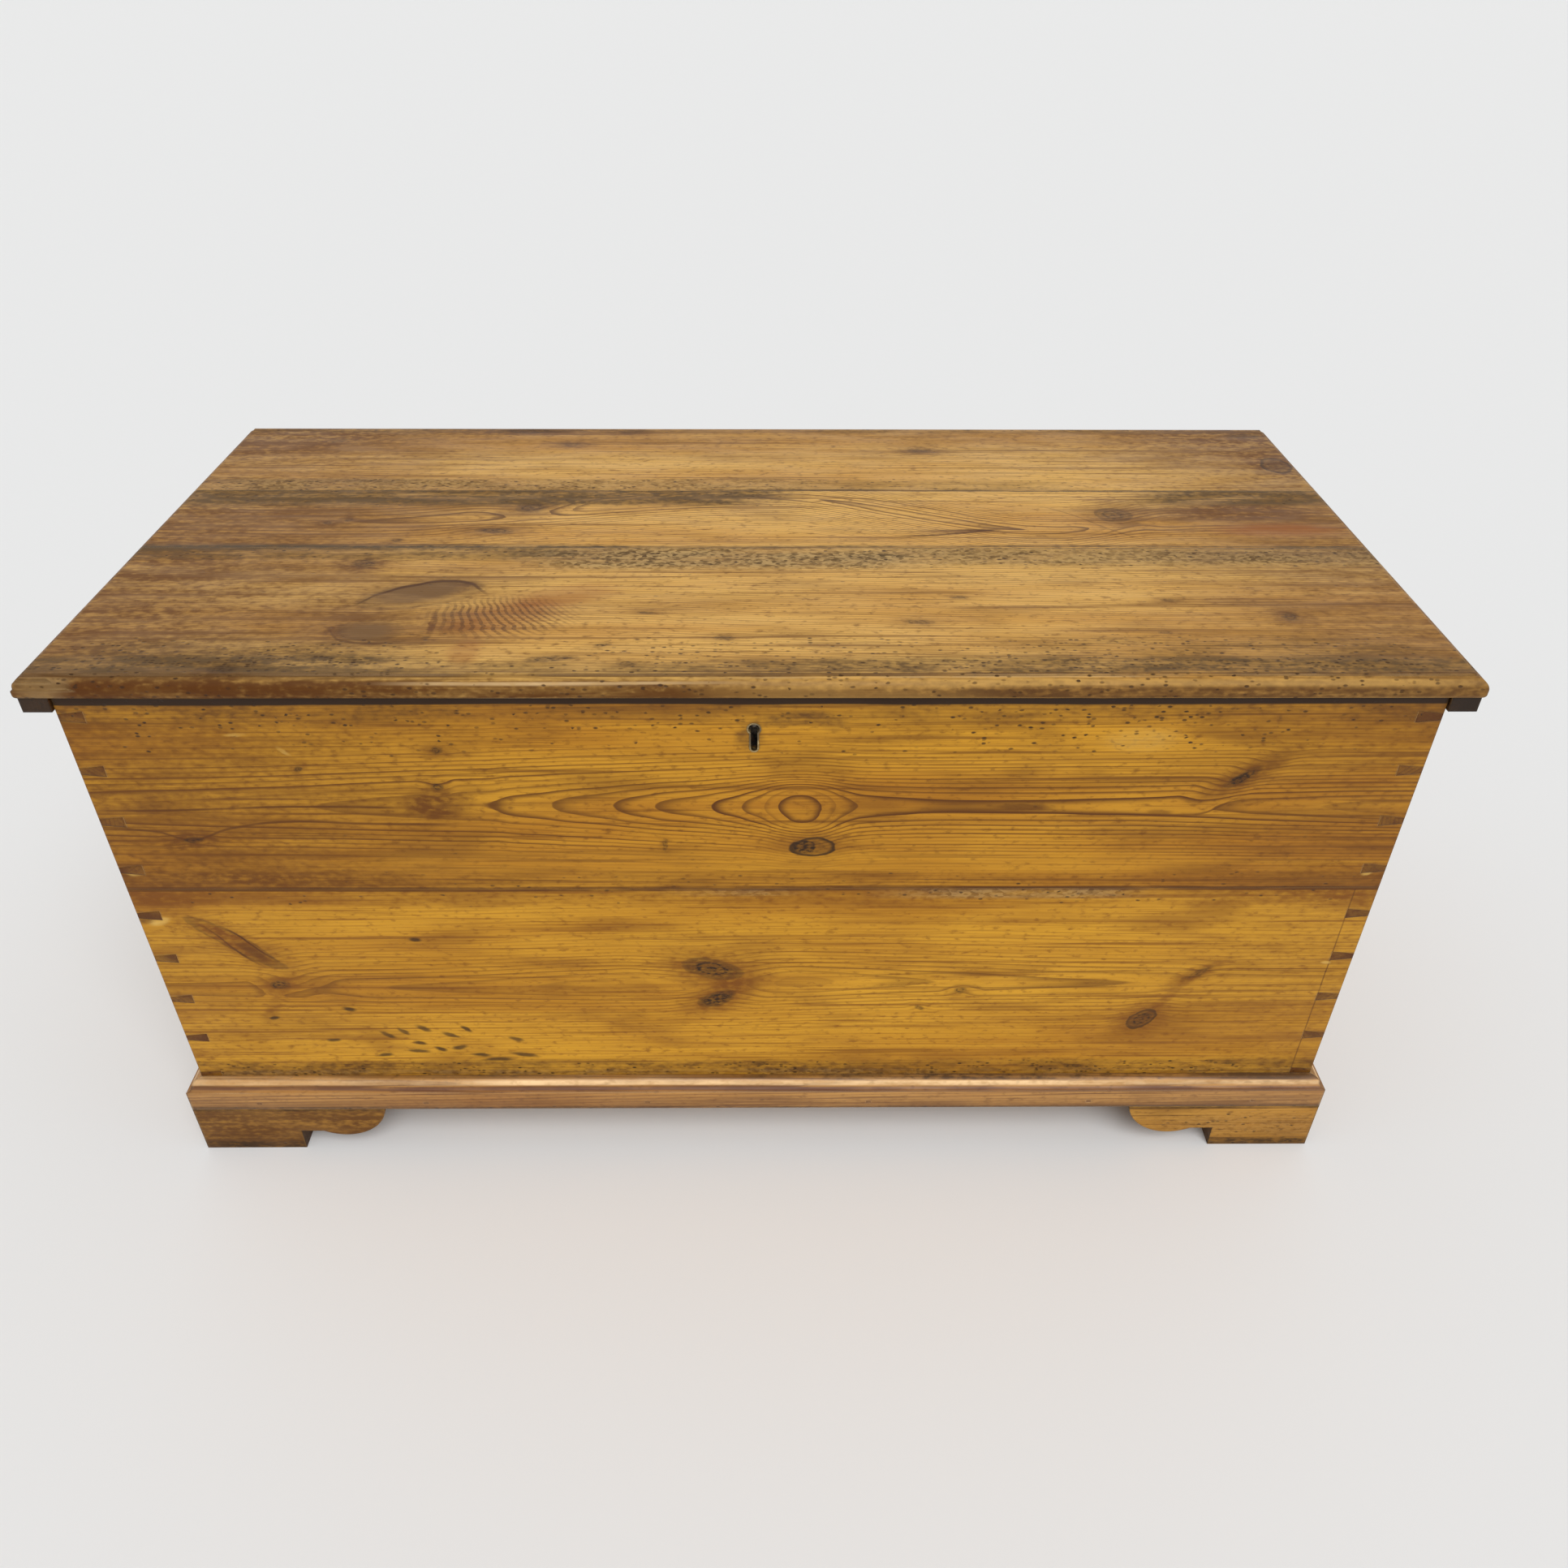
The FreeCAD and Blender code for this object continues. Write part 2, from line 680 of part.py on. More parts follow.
strap_screw_shares = (0.14, 0.4, 0.68, 0.92)
plate_side = d.hinge_plate_width * half
strap_side = d.strap_width * half
leaf_face = d.hinge_leaf - barrel_offset
plate_screw_x = plate_side - d.plate_screw_edge
plate_screw_heights = (d.plate_screw_edge - d.hinge_plate_height, -d.barrel_radius - d.plate_screw_edge)
plate_screw_places = []
strap_screw_places = []
for frame in HINGES.values():
    for z in plate_screw_heights:
        for x in (-plate_screw_x, plate_screw_x):
            plate_screw_places.append((frame, x, leaf_face, z))
    for share in strap_screw_shares:
        strap_screw_places.append((frame, 0, -d.strap_length * share, 0))
plate_screw_holes = screws("hinge_plate_screws", d.plate_screw_length, FORWARDS, plate_screw_places)
strap_screw_holes = screws("hinge_strap_screws", d.strap_screw_length, UPWARDS, strap_screw_places)
strap_recesses = []

for side, frame in HINGES.items():
    pin_bore = cylinder("PinBore", frame, RIGHTWARDS, d.hinge_pin_radius + d.running_clearance,
                        d.hinge_plate_width + d.overrun * 2, -plate_side - d.overrun)
    leaf = new_body("HingeLeaf", frame)
    extrude(leaf, "Pad", "y", -barrel_offset, leaf_face, plate_outline())
    knuckle_start = strap_side + d.knuckle_gap
    knuckle_length = plate_side - knuckle_start
    knuckles = [cylinder("Knuckle", frame, RIGHTWARDS, d.barrel_radius, knuckle_length, x)
                for x in (-plate_side, knuckle_start)]
    notch = box("KnuckleNotch", frame, -knuckle_start, knuckle_start, -barrel_offset - d.overrun,
                d.barrel_radius, -d.barrel_radius - d.barrel_gap, d.barrel_radius)
    keep(cut("HingePlate", fuse("LeafAndKnuckles", [leaf] + knuckles), [pin_bore, notch] + plate_screw_holes),
         f"{side}_hinge_plate")

    strap = new_body("Strap", frame)
    extrude(strap, "Pad", "z", 0, d.hinge_leaf, strap_outline(0))
    eye = cylinder("StrapEye", frame, RIGHTWARDS, d.barrel_radius, d.strap_width, -strap_side)
    keep(cut("HingeStrap", fuse("StrapAndEye", [strap, eye]), [pin_bore] + strap_screw_holes),
         f"{side}_hinge_strap")

    pin_reach = plate_side + d.hinge_pin_proud
    keep(cylinder("HingePin", frame, RIGHTWARDS, d.hinge_pin_radius, pin_reach * 2, -pin_reach),
         f"{side}_hinge_pin")

    recess = new_body("StrapRecess", frame)
    extrude(recess, "Pad", "z", -d.overrun, d.hinge_leaf, strap_outline(d.strap_recess_clearance))
    strap_recesses.append(recess)

# Case walls: the front and back carry the tails, the ends carry the pins
pin_span = d.case_height - d.pin_margin * 2
pin_half = d.pin_width * half


def pin_outline(side):
    """The lowest pin seen from the front, narrow at the corner and wide at its root."""
    return [
        (case_end * side, d.pin_margin - pin_half),
        (case_end * side, d.pin_margin + pin_half),
        (inside_end * side, d.pin_margin + pin_half + d.pin_flare),
        (inside_end * side, d.pin_margin - pin_half - d.pin_flare),
    ]


def two_boards(wall, panel, seam, cutters):
    """Drill a wall and part it at its glued seam into an upper and a lower board."""
    drilled = cut(f"{wall}Drilled", panel, cutters)
    reach = case_end + d.overrun
    for label, low, high in (("lower", 0, seam), ("upper", seam, d.case_height)):
        slab = box(f"{wall}Slab", CASE, -reach, reach, -d.overrun, case_depth + d.overrun, low, high)
        board = doc.addObject("Part::Common", f"{wall}Board")
        board.Base = drilled
        board.Tool = slab
        keep(board, f"{wall}_{label}_board")


def tail_panel(name, start):
    """A front or back wall with a socket for every pin."""
    panel = new_body(name, CASE)
    end = as_size(start) + d.board_thickness
    extrude(panel, "Pad", "y", start, end, rectangle(-case_end, case_end, 0, d.case_height))
    sockets = extrude(panel, "Pocket", "y", start, end, pin_outline(-1), pin_outline(1))
    repeat(panel, sockets, pin_span, d.pin_count)
    return panel


def span(near, far, side):
    """Two distances from the middle, as the low and high x on one side of the chest."""
    return (near, far) if side > 0 else (-far, -near)


def pin_panel(name, side):
    """An end wall whose pins reach through the front and back walls."""
    panel = new_body(name, CASE)
    across = span(inside_end, case_end, side)
    extrude(panel, "Pad", "y", d.board_thickness, inside_back, rectangle(*across, 0, d.case_height))
    pins = extrude(panel, "Pad", "y", 0, case_depth, pin_outline(side))
    repeat(panel, pins, pin_span, d.pin_count)
    return panel


two_boards("front", tail_panel("FrontPanel", 0), d.front_seam_height, lock_cutters + till + [floor_nails])
two_boards("back", tail_panel("BackPanel", inside_back), d.back_seam_height,
           plate_screw_holes + till + [floor_nails])
two_boards("left", pin_panel("LeftPanel", -1), d.side_seam_height, [floor_nails])
two_boards("right", pin_panel("RightPanel", 1), d.side_seam_height, [floor_nails])

# Floor: three boards laid lengthways under the walls
floor_seam = d.floor_front_board_width + d.floor_middle_board_width
floor_runs = (("front", 0, d.floor_front_board_width), ("middle", d.floor_front_board_width, floor_seam),
              ("rear", floor_seam, case_depth))
for name, start, end in floor_runs:
    blank = box("FloorBlank", BASE, -case_end, case_end, start, end, d.foot_height, case_bottom)
    keep(cut("FloorBoard", blank, [floor_nails, skirt_nails]), f"floor_{name}_board")

# Skirt: an ogee moulding over a flat band, mitred at the front corners
skirt_top = d.foot_height + d.skirt_height
bead_out = d.skirt_ledge + d.skirt_bead_radius
cove_top = skirt_top - d.skirt_bead_radius
cove_foot = cove_top - d.skirt_cove_radius


def skirt_profile(face, outwards):
    """The moulding's section, from the case's face outwards."""
    out = [face + size * outwards for size in (d.skirt_ledge, bead_out, skirt_thickness)]
    return [
        (face, d.foot_height),
        (face, skirt_top),
        (out[0], skirt_top, d.skirt_bead_radius, -outwards),
        (out[1], cove_top, d.skirt_cove_radius, outwards),
        (out[2], cove_foot),
        (out[2], d.foot_height),
    ]


def mitre(corner, side, outside_x, outside_y):
    """A triangle behind the 45 degree line through a front corner, on the side to be cut away."""
    inner = (corner - d.overrun) * side
    outer = (corner + skirt_thickness + d.overrun) * side
    near = d.overrun
    far = -skirt_thickness - d.overrun
    return [(inner, near), (outer, far), (outer if outside_x else inner, far if outside_y else near)]


skirt_front = new_body("SkirtFront", BASE)
extrude(skirt_front, "Pad", "x", -skirt_end, skirt_end, skirt_profile(as_size(0), -1))
extrude(skirt_front, "Pocket", "z", 0, skirt_top + d.overrun,
        *[mitre(case_end, side, True, False) for side in (-1, 1)])
keep(cut("SkirtFrontNailed", skirt_front, [skirt_nails]), "skirt_front")
for name, side in (("left", -1), ("right", 1)):
    skirt = new_body("SkirtEnd", BASE)
    extrude(skirt, "Pad", "y", -skirt_thickness, case_depth, skirt_profile(case_end * side, side))
    extrude(skirt, "Pocket", "z", 0, skirt_top + d.overrun, mitre(case_end, side, False, True))
    keep(cut("SkirtEndNailed", skirt, [skirt_nails]), f"skirt_{name}")


# Bracket feet: a pad, a small fillet and a round lobe that ends under the skirt, mitred at the front corners
def bracket_outline(corner, inwards):
    """One bracket's face, from its outer edge inwards along the chest."""
    pad_end = corner + d.foot_pad * inwards
    lobe_start = pad_end + d.foot_fillet * inwards
    lobe_end = pad_end + d.foot_wing * inwards
    return [
        (corner, 0),
        (corner, d.foot_height),
        (lobe_end, d.foot_height, d.foot_lobe_radius, -inwards),
        (lobe_start, d.foot_step),
        (pad_end, d.foot_step),
        (pad_end, 0),
    ]


def foot_mitre(side, outside_x, outside_y):
    """A triangle behind the 45 degree line through a foot's outer front corner."""
    inner = (skirt_end - d.bracket_thickness - d.overrun) * side
    outer = (skirt_end + d.overrun) * side
    near = d.bracket_thickness - skirt_thickness + d.overrun
    far = -skirt_thickness - d.overrun
    return [(inner, near), (outer, far), (outer if outside_x else inner, far if outside_y else near)]


front_face = -skirt_thickness
bracket_back = front_face + d.bracket_thickness
bracket_inside = skirt_end - d.bracket_thickness
rear_inside = case_depth - d.bracket_thickness
for name, side in (("left", -1), ("right", 1)):
    foot = new_body("FootFront", BASE)
    extrude(foot, "Pad", "y", front_face, bracket_back, bracket_outline(skirt_end * side, -side))
    extrude(foot, "Pocket", "z", 0, d.foot_height + d.overrun, foot_mitre(side, True, False))
    keep(foot, f"front_{name}_foot_front")

    across = span(bracket_inside, skirt_end, side)
    foot = new_body("FootSide", BASE)
    extrude(foot, "Pad", "x", *across, bracket_outline(front_face, 1))
    extrude(foot, "Pocket", "z", 0, d.foot_height + d.overrun, foot_mitre(side, False, True))
    keep(foot, f"front_{name}_foot_side")

    foot = new_body("RearFootSide", BASE)
    extrude(foot, "Pad", "x", *across, bracket_outline(case_depth, -1))
    keep(foot, f"rear_{name}_foot_side")

    foot = new_body("RearFootBack", BASE)
    extrude(foot, "Pad", "y", rear_inside, case_depth, [
        (bracket_inside * side, 0),
        (bracket_inside * side, d.foot_height),
        ((bracket_inside - d.rear_bracket_top) * side, d.foot_height),
        ((bracket_inside - d.rear_bracket_toe) * side, 0),
    ])
    keep(foot, f"rear_{name}_foot_back")

    block_x = span(bracket_inside - d.block_side, bracket_inside, side)
    for end, start in (("front", bracket_back), ("rear", rear_inside - d.block_side)):
        block = box("FootBlock", BASE, *block_x, start, start + d.block_side, d.block_lift, d.foot_height)
        keep(block, f"{end}_{name}_foot_block")

# Lid: boards with a thumb moulding on the front and ends, and a batten screwed under each end
lid_end = d.lid_width * half
thumb_foot = d.lid_thickness - d.thumb_step - d.thumb_radius


def thumb_waste(edge, outwards):
    """What the moulding plane takes off an edge: a small step, a large round and a small round under it."""
    start = edge - d.thumb_radius * outwards
    beyond = edge + d.overrun * outwards
    under = edge - d.thumb_under_radius * outwards
    above = [
        (start, d.lid_thickness + d.overrun),
        (start, d.lid_thickness - d.thumb_step, d.thumb_radius, -outwards),
        (edge, thumb_foot),
        (beyond, thumb_foot),
        (beyond, d.lid_thickness + d.overrun),
    ]
    below = [
        (edge, d.thumb_under_radius, d.thumb_under_radius, -outwards),
        (under, 0),
        (under, -d.overrun),
        (beyond, -d.overrun),
        (beyond, d.thumb_under_radius),
    ]
    return above, below


def break_outline(length, depth):
    """The plan of one step of the broken corner, tapering out along the grain."""
    corner = -lid_end - d.overrun
    end = length - lid_end
    return [(corner, -d.overrun), (end, -d.overrun), (end - d.break_taper, depth), (corner, depth)]


batten_inside = case_end + d.batten_gap
batten_screw_x = batten_inside + d.batten_width * half
batten_screw_shares = (0.08, 0.34, 0.55, 0.78, 0.95)
batten_screw_places = []
for share in batten_screw_shares:
    for x in (-batten_screw_x, batten_screw_x):
        batten_screw_places.append((LID, x, d.lid_depth * share, -d.batten_height))
batten_screw_holes = screws("batten_screws", d.batten_screw_length, UPWARDS, batten_screw_places)

lid_seam = d.lid_front_board_width + d.lid_middle_board_width
lid_runs = (("front", 0, d.lid_front_board_width), ("middle", d.lid_front_board_width, lid_seam),
            ("rear", lid_seam, d.lid_depth))
lid_cutters = strap_recesses + strap_screw_holes + batten_screw_holes + [striker_recess] + striker_holes
for name, start, end in lid_runs:
    board = new_body("LidBoard", LID)
    extrude(board, "Pad", "z", 0, d.lid_thickness, rectangle(-lid_end, lid_end, start, end))
    extrude(board, "Pocket", "y", start, end, *thumb_waste(-lid_end, -1), *thumb_waste(lid_end, 1))
    if name == "front":
        extrude(board, "Pocket", "x", -lid_end, lid_end, *thumb_waste(as_size(0), -1))
        upper = break_outline(d.break_upper_length, d.break_upper_depth)
        lower = break_outline(d.break_lower_length, d.break_lower_depth)
        extrude(board, "Pocket", "z", d.break_upper_level, d.lid_thickness, upper)
        extrude(board, "Pocket", "z", d.break_lower_level, d.lid_thickness, lower)
    keep(cut("LidBoardCut", board, lid_cutters), f"lid_{name}_board")

for name, side in (("left", -1), ("right", 1)):
    across = span(batten_inside, batten_inside + d.batten_width, side)
    blank = box("BattenBlank", LID, *across, d.batten_setback, d.lid_depth, -d.batten_height, 0)
    keep(cut("Batten", blank, batten_screw_holes), f"lid_{name}_batten")

# Every object has to be sound before any file is written
doc.recompute()
for thing in doc.Objects:
    if "Invalid" in thing.State or "Error" in thing.State:
        raise RuntimeError(f"{thing.Label} failed: {thing.State}")
for piece in pieces:
    if piece.Shape.isNull() or not piece.Shape.isValid() or not piece.Shape.Solids:
        raise RuntimeError(f"{piece.Label} has no valid solid")

os.makedirs("parts", exist_ok=True)
for piece in pieces:
    piece.Shape.exportStep(f"parts/{piece.Label}.step")
print(len(pieces), "sub-parts written")
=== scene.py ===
"""Looks for a dovetailed pine blanket chest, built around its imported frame. Lengths are metres."""
import math

import bpy
import numpy as np
from mathutils import Matrix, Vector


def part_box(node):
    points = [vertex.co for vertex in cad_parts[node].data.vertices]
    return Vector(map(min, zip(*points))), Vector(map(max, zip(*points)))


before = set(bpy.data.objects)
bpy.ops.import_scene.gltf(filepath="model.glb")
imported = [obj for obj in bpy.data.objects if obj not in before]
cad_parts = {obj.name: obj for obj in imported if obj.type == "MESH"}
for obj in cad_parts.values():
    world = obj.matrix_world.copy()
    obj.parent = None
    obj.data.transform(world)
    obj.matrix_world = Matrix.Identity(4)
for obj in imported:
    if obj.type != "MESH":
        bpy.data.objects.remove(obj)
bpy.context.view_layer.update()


# Bracket feet: sawn pine brackets, mitred at the front corners and glued and blocked under the floor.
# They stand on the ground, so their lower edges are dark and scuffed.

class Paint:
    """One output socket of a material, so that fields over the wood read as plain arithmetic."""

    def __init__(self, tree, socket=None):
        self.tree = tree
        self.socket = socket

    def node(self, kind, settings, values, output=0):
        """Add any node: its settings or a ramp's stops first, then the values or links of its sockets."""
        made = self.tree.nodes.new("ShaderNode" + kind)
        for name, setting in settings.items():
            if name == "stops":
                made.color_ramp.interpolation = "CARDINAL"
                made.color_ramp.elements[0].color = (*setting[0][1:], 1.0)
                made.color_ramp.elements[-1].color = (*setting[-1][1:], 1.0)
                for position, *colour in setting[1:-1]:
                    made.color_ramp.elements.new(position).color = (*colour, 1.0)
            else:
                setattr(made, name, setting)
        for key, value in values.items():
            if isinstance(value, Paint):
                self.tree.links.new(value.socket, made.inputs[key])
            else:
                made.inputs[key].default_value = value
        return Paint(self.tree, made.outputs[output])

    def math(self, operation, first, second=0.0):
        return self.node("Math", {"operation": operation}, {0: first, 1: second})

    def __add__(self, other):
        return self.math("ADD", self, other)

    def __sub__(self, other):
        return self.math("SUBTRACT", self, other)

    def __rsub__(self, other):
        return self.math("SUBTRACT", other, self)

    def __mul__(self, other):
        return self.math("MULTIPLY", self, other)

    def __truediv__(self, other):
        return self.math("DIVIDE", self, other)

    def __pow__(self, power):
        return self.math("POWER", self, power)

    def __abs__(self):
        return self.math("ABSOLUTE", self)

    __radd__ = __add__
    __rmul__ = __mul__

    def smooth(self, low, high, bottom=0.0, top=1.0):
        """A soft step from bottom at low to top at high; low may be the larger."""
        return self.node("MapRange", {"interpolation_type": "SMOOTHSTEP"},
                         {0: self, 1: low, 2: high, 3: bottom, 4: top})

    def mix(self, first, second):
        """The first colour where this is 0, the second where it is 1."""
        return self.node("Mix", {"data_type": "RGBA"}, {0: self, 6: first, 7: second}, 2)

    def vector(self, operation, *values, output=0):
        return self.node("VectorMath", {"operation": operation}, dict(enumerate(values)), output)

    def noise(self, scale, detail=2.0, output=0):
        """Cloudy noise from 0 to 1, with its own scale along, across and through the board."""
        return self.node("TexNoise", {}, {"Vector": self.vector("MULTIPLY", self, scale), "Scale": 1.0,
                                          "Detail": detail}, output)


    def capped(self):
        """The same value, but never more than 1."""
        return self.math("MINIMUM", self, 1.0)

    def curve(self, points):
        """Up to three values that run without corners through points of (position, value, ...).

        A colour ramp holds the points, each column scaled to run from 0 to 1, and its red, green and blue are
        scaled back to the values' own units.
        """
        steady = 1e-6
        rows = np.array(points)
        low, reach = rows.min(0), np.maximum(np.ptp(rows, 0), steady)
        stops = np.zeros((len(rows), 4))
        stops[:, :rows.shape[1]] = (rows - low) / reach
        found = self.node("ValToRGB", {"stops": stops.tolist()}, {0: (self - low[0]) / reach[0]})
        return [found.node("SeparateColor", {}, {0: found}, channel) * reach[channel + 1] + low[channel + 1]
                for channel in range(rows.shape[1] - 1)]

    def around(self, along, across, length, width, turn):
        """Distance from a turned oval's middle, 1 at its edge and the same at any depth."""
        any_depth = 1000.0
        turned = self.node("Mapping", {"vector_type": "TEXTURE"},
                           {0: self, 1: (along, across, 0.0), 2: (0.0, 0.0, math.radians(turn)),
                            3: (length, width, any_depth)})
        return turned.vector("LENGTH", turned, output="Value")


def srgb(red, green, blue):
    """A colour from its 0 to 255 values on a screen, by the standard screen curve."""
    part = np.array([red, green, blue]) / 255
    linear = np.where(part <= 0.04045, part / 12.92, ((part + 0.055) / 1.055) ** 2.4)
    return (*linear.tolist(), 1.0)


def pine(name, axes, face, path, ring, tone, seed, contrast=0.6, pits=0.02, bare=None, shine=0.25, worn=0.3,
         cloudy=0.5, knots=(), stains=(), bands=(), threads=(), scribes=(), ripples=(), fades=()):
    """Old flat-sawn pine as a solid: rings are the distance from a pith line, pushed out round each knot.

    axes are the board's along, across and through axes, and face is where its outer face lies. path holds
    points of the pith line: along, across, depth behind the face and, where the rings bulge, how much of the
    distance across counts. Its rise and fall draw the arrow tips. ring is a year's growth. Colours are keys
    of tone, seed shifts the noise, and bare is how deep the polish goes.
    knots: along, across, half length, half width, turn in degrees, rings pushed, core, rim, halo.
    stains: along, across, half length, half width, turn, strength, colour.
    bands: across, half width, from, to, strength, pits, colour.
    threads: half width, strength, points of along and across.
    scribes: along, from and to across, strength.
    ripples: along, across, half length, half width, spacing, slant at the left and at the right, strength.
    fades: field (along, across or inwards), from none, to full, strength, colour.
    """
    material = bpy.data.materials.new(name)
    material.use_nodes = True
    tree = material.node_tree
    start = Paint(tree)
    place = start.node("TexCoord", {}, {}, "Object")
    normal = start.node("TexCoord", {}, {}, "Normal")
    along, across, through = [place.node("SeparateXYZ", {}, {0: place}, axis) for axis in axes]
    end_grain = abs(normal.node("SeparateXYZ", {}, {0: normal}, axes[0])).smooth(0.55, 0.85)
    spot = start.node("CombineXYZ", {}, {0: along, 1: across, 2: through})
    loose = spot.vector("ADD", spot, (1.7 * seed, 0.9 * seed, 2.3 * seed))
    tint = {key: srgb(*value) for key, value in tone.items()}
    patchy = loose.noise((14.0, 60.0, 60.0), 4.0)
    inwards = abs(through - face)

    # Rings: they wander along the board, and knots push them out. A knot's reaches are in its own radii.
    ring_wave, ring_sway = 0.010, 0.0014
    bulge_near, bulge_far = 0.010, 0.034
    push_reach, halo_reach, heart_rings = 3.4, 2.8, 16.0
    wave = loose.noise((2.0, 9.0, 9.0)) - 0.5
    sway = loose.noise((7.0, 60.0, 60.0)) - 0.5
    pith, depth, *counts = along.curve(path)
    beside = across - pith + wave * ring_wave
    if counts:
        beside = beside * (1.0 - abs(beside).smooth(bulge_far, bulge_near) * (1.0 - counts[0]))
    fall = depth + inwards
    radius = (beside * beside + fall * fall) ** 0.5 + sway * ring_sway
    ragged = spot
    for scale, shift in (((28.0, 48.0, 48.0), (0.009, 0.006, 0.0)),
                         ((120.0, 240.0, 240.0), (0.004, 0.002, 0.0))):
        stray = loose.noise(scale, 2.0, "Color")
        stray = stray.vector("SUBTRACT", stray, (0.5, 0.5, 0.5))
        ragged = stray.vector("MULTIPLY_ADD", stray, shift, ragged)
    grit = loose.noise((260.0, 440.0, 440.0), 3.0).smooth(0.36, 0.62, 0.5, 1.0)
    core, rim, halo = 0.0, 0.0, 0.0
    for x, y, length, width, turn, push, dark, edge, glow in knots:
        reach = ragged.around(x, y, length, width, turn)
        if push:
            radius = radius + reach.smooth(push_reach, 0.0, 0.0, push * ring)
        if dark:
            heart = reach * heart_rings
            heart = heart.math("SINE", heart).smooth(-0.2, 0.9, 0.65 * dark, dark)
            core = core + reach.smooth(1.05, 0.6) * heart
        if edge:
            rim = rim + reach.smooth(0.70, 0.96, 0.0, edge) * reach.smooth(1.10, 1.0)
        if glow:
            halo = halo + reach.smooth(halo_reach, 0.7, 0.0, glow)
    count = radius / ring
    grown = count.math("FRACT", count)
    year = count.math("FLOOR", count)
    lean = year.node("TexWhiteNoise", {"noise_dimensions": "1D"}, {"W": year}, "Value")
    late = grown.smooth(0.45, 0.95) * grown.smooth(1.0, 0.95) * lean.smooth(0.0, 1.0, 0.35, 1.0)

    # Wear, dirt, painted shade and painted highlights: slow fades, patches, bands along the board, thin dark
    # lines and rippled figure
    band_wave, band_end = 0.006, 0.05
    thread_sway, thread_outside, thread_inside = 0.0012, 0.01, 0.02
    scribe_sway, scribe_half, scribe_core, scribe_end = 0.0008, 0.0009, 0.0003, 0.01
    ripple_sway = 0.012
    cover, pitted = {}, pits

    def add(key, amount):
        cover[key] = cover.get(key, 0.0) + amount

    fields = {"along": along, "across": across, "inwards": inwards}
    for field, none, full, strength, key in fades:
        add(key, fields[field].smooth(none, full) * patchy.smooth(0.2, 0.65, 0.65 * strength, strength))
    for x, y, length, width, turn, strength, key in stains:
        reach = ragged.around(x, y, length, width, turn)
        add(key, reach.smooth(1.0, 0.35) * patchy.smooth(0.25, 0.6, 0.6 * strength, strength))
    for centre, half, first, last, strength, holes, key in bands:
        band = abs(across + wave * band_wave - centre).smooth(half, half * 0.35)
        band = band * along.smooth(first - band_end, first + band_end)
        band = band * along.smooth(last + band_end, last - band_end)
        if strength:
            add(key, band * patchy.smooth(0.28, 0.62, 0.4 * strength, strength))
        if holes:
            pitted = pitted + band * holes
    for half, strength, points in threads:
        line = abs(across + sway * thread_sway - along.curve(points)[0]).smooth(half, half * 0.3)
        first, last = points[0][0], points[-1][0]
        ends = along.smooth(first - thread_outside, first + thread_inside)
        ends = ends * along.smooth(last + thread_outside, last - thread_inside)
        add("line", line * ends * patchy.smooth(0.3, 0.6, 0.5 * strength, strength))
    for x, low, high, strength in scribes:
        cut = abs(along + sway * scribe_sway - x).smooth(scribe_half, scribe_core)
        cut = cut * patchy.smooth(0.2, 0.6, 0.3, strength)
        add("line", cut * across.smooth(low - scribe_end, low) * across.smooth(high + scribe_end, high))
    for x, y, length, width, spacing, left, right, strength in ripples:
        reach = ragged.around(x, y, length, width, 0.0)
        slant = along.smooth(x - length, x + length, left, right)
        comb = (along - (across - y) * slant + sway * ripple_sway) * (2.0 * math.pi / spacing)
        add("line", comb.math("SINE", comb).smooth(-0.2, 0.6) * reach.smooth(1.0, 0.4) * grit * strength)
    cells = {"Vector": loose.vector("MULTIPLY", loose, (230.0, 420.0, 420.0)), "Scale": 1.0}
    near = start.node("TexVoronoi", {}, cells, "Distance")
    cell = start.node("TexVoronoi", {}, cells, "Color")
    chance, grain = [cell.node("SeparateColor", {}, {0: cell}, channel) for channel in (0, 1)]
    hole = near.smooth(0.6, 0.25) * (pitted - chance).smooth(0.0, 0.05)

    # Colour, from the wood outwards to what lies on it
    cloud = loose.noise((9.0, 30.0, 30.0), 5.0)
    hair = loose.noise((4.0, 230.0, 230.0), 2.0)
    mottle = loose.noise((130.0, 240.0, 240.0), 3.0)
    streak = loose.noise((2.4, 90.0, 90.0), 3.0)
    fibre = loose.noise((14.0, 620.0, 620.0), 1.0)
    tint["speckle"] = (grain * 0.6 + mottle * 0.8).smooth(0.45, 1.0).mix(tint["chaff"], tint["pitch"])
    blotch = loose.noise((2.2, 12.0, 12.0), 3.0).smooth(0.34, 0.66)
    wood = blotch.mix(tint["light"], tint["amber"])
    for field, none, full, strength, key in (
            (streak, 0.52, 0.80, 0.55, "deep"), (streak, 0.48, 0.22, 0.6, "light"),
            (cloud, 0.50, 0.72, cloudy, "deep"), (cloud, 0.48, 0.28, cloudy, "light"),
            (hair, 0.58, 0.68, 0.6, "deep"), (mottle, 0.52, 0.80, 0.65, "deep"),
            (fibre, 0.45, 0.85, 0.50, "deep")):
        wood = field.smooth(none, full, 0.0, strength).mix(wood, tint[key])
    pith_near, pith_far = 0.016, 0.070
    near_pith = abs(beside).smooth(pith_far, pith_near, 0.45, 1.1)
    wood = (late * near_pith * contrast).mix(wood, tint["line"])
    add("deep", halo)
    scuffed = (mottle * 0.7 + streak * 0.5).smooth(0.42, 0.70, 0.55, 1.0)
    for key, amount in cover.items():
        if isinstance(amount, Paint):
            amount = amount.capped()
            if key in ("grime", "pitch", "pale", "deep", "nose_grime_and_shade"):
                amount = amount * scuffed
            wood = amount.mix(wood, tint[key])
    for amount, broken in ((core, grit), (rim, patchy.smooth(0.2, 0.6, 0.6, 1.0))):
        if isinstance(amount, Paint):
            wood = (amount.capped() * broken).mix(wood, tint["knot"])
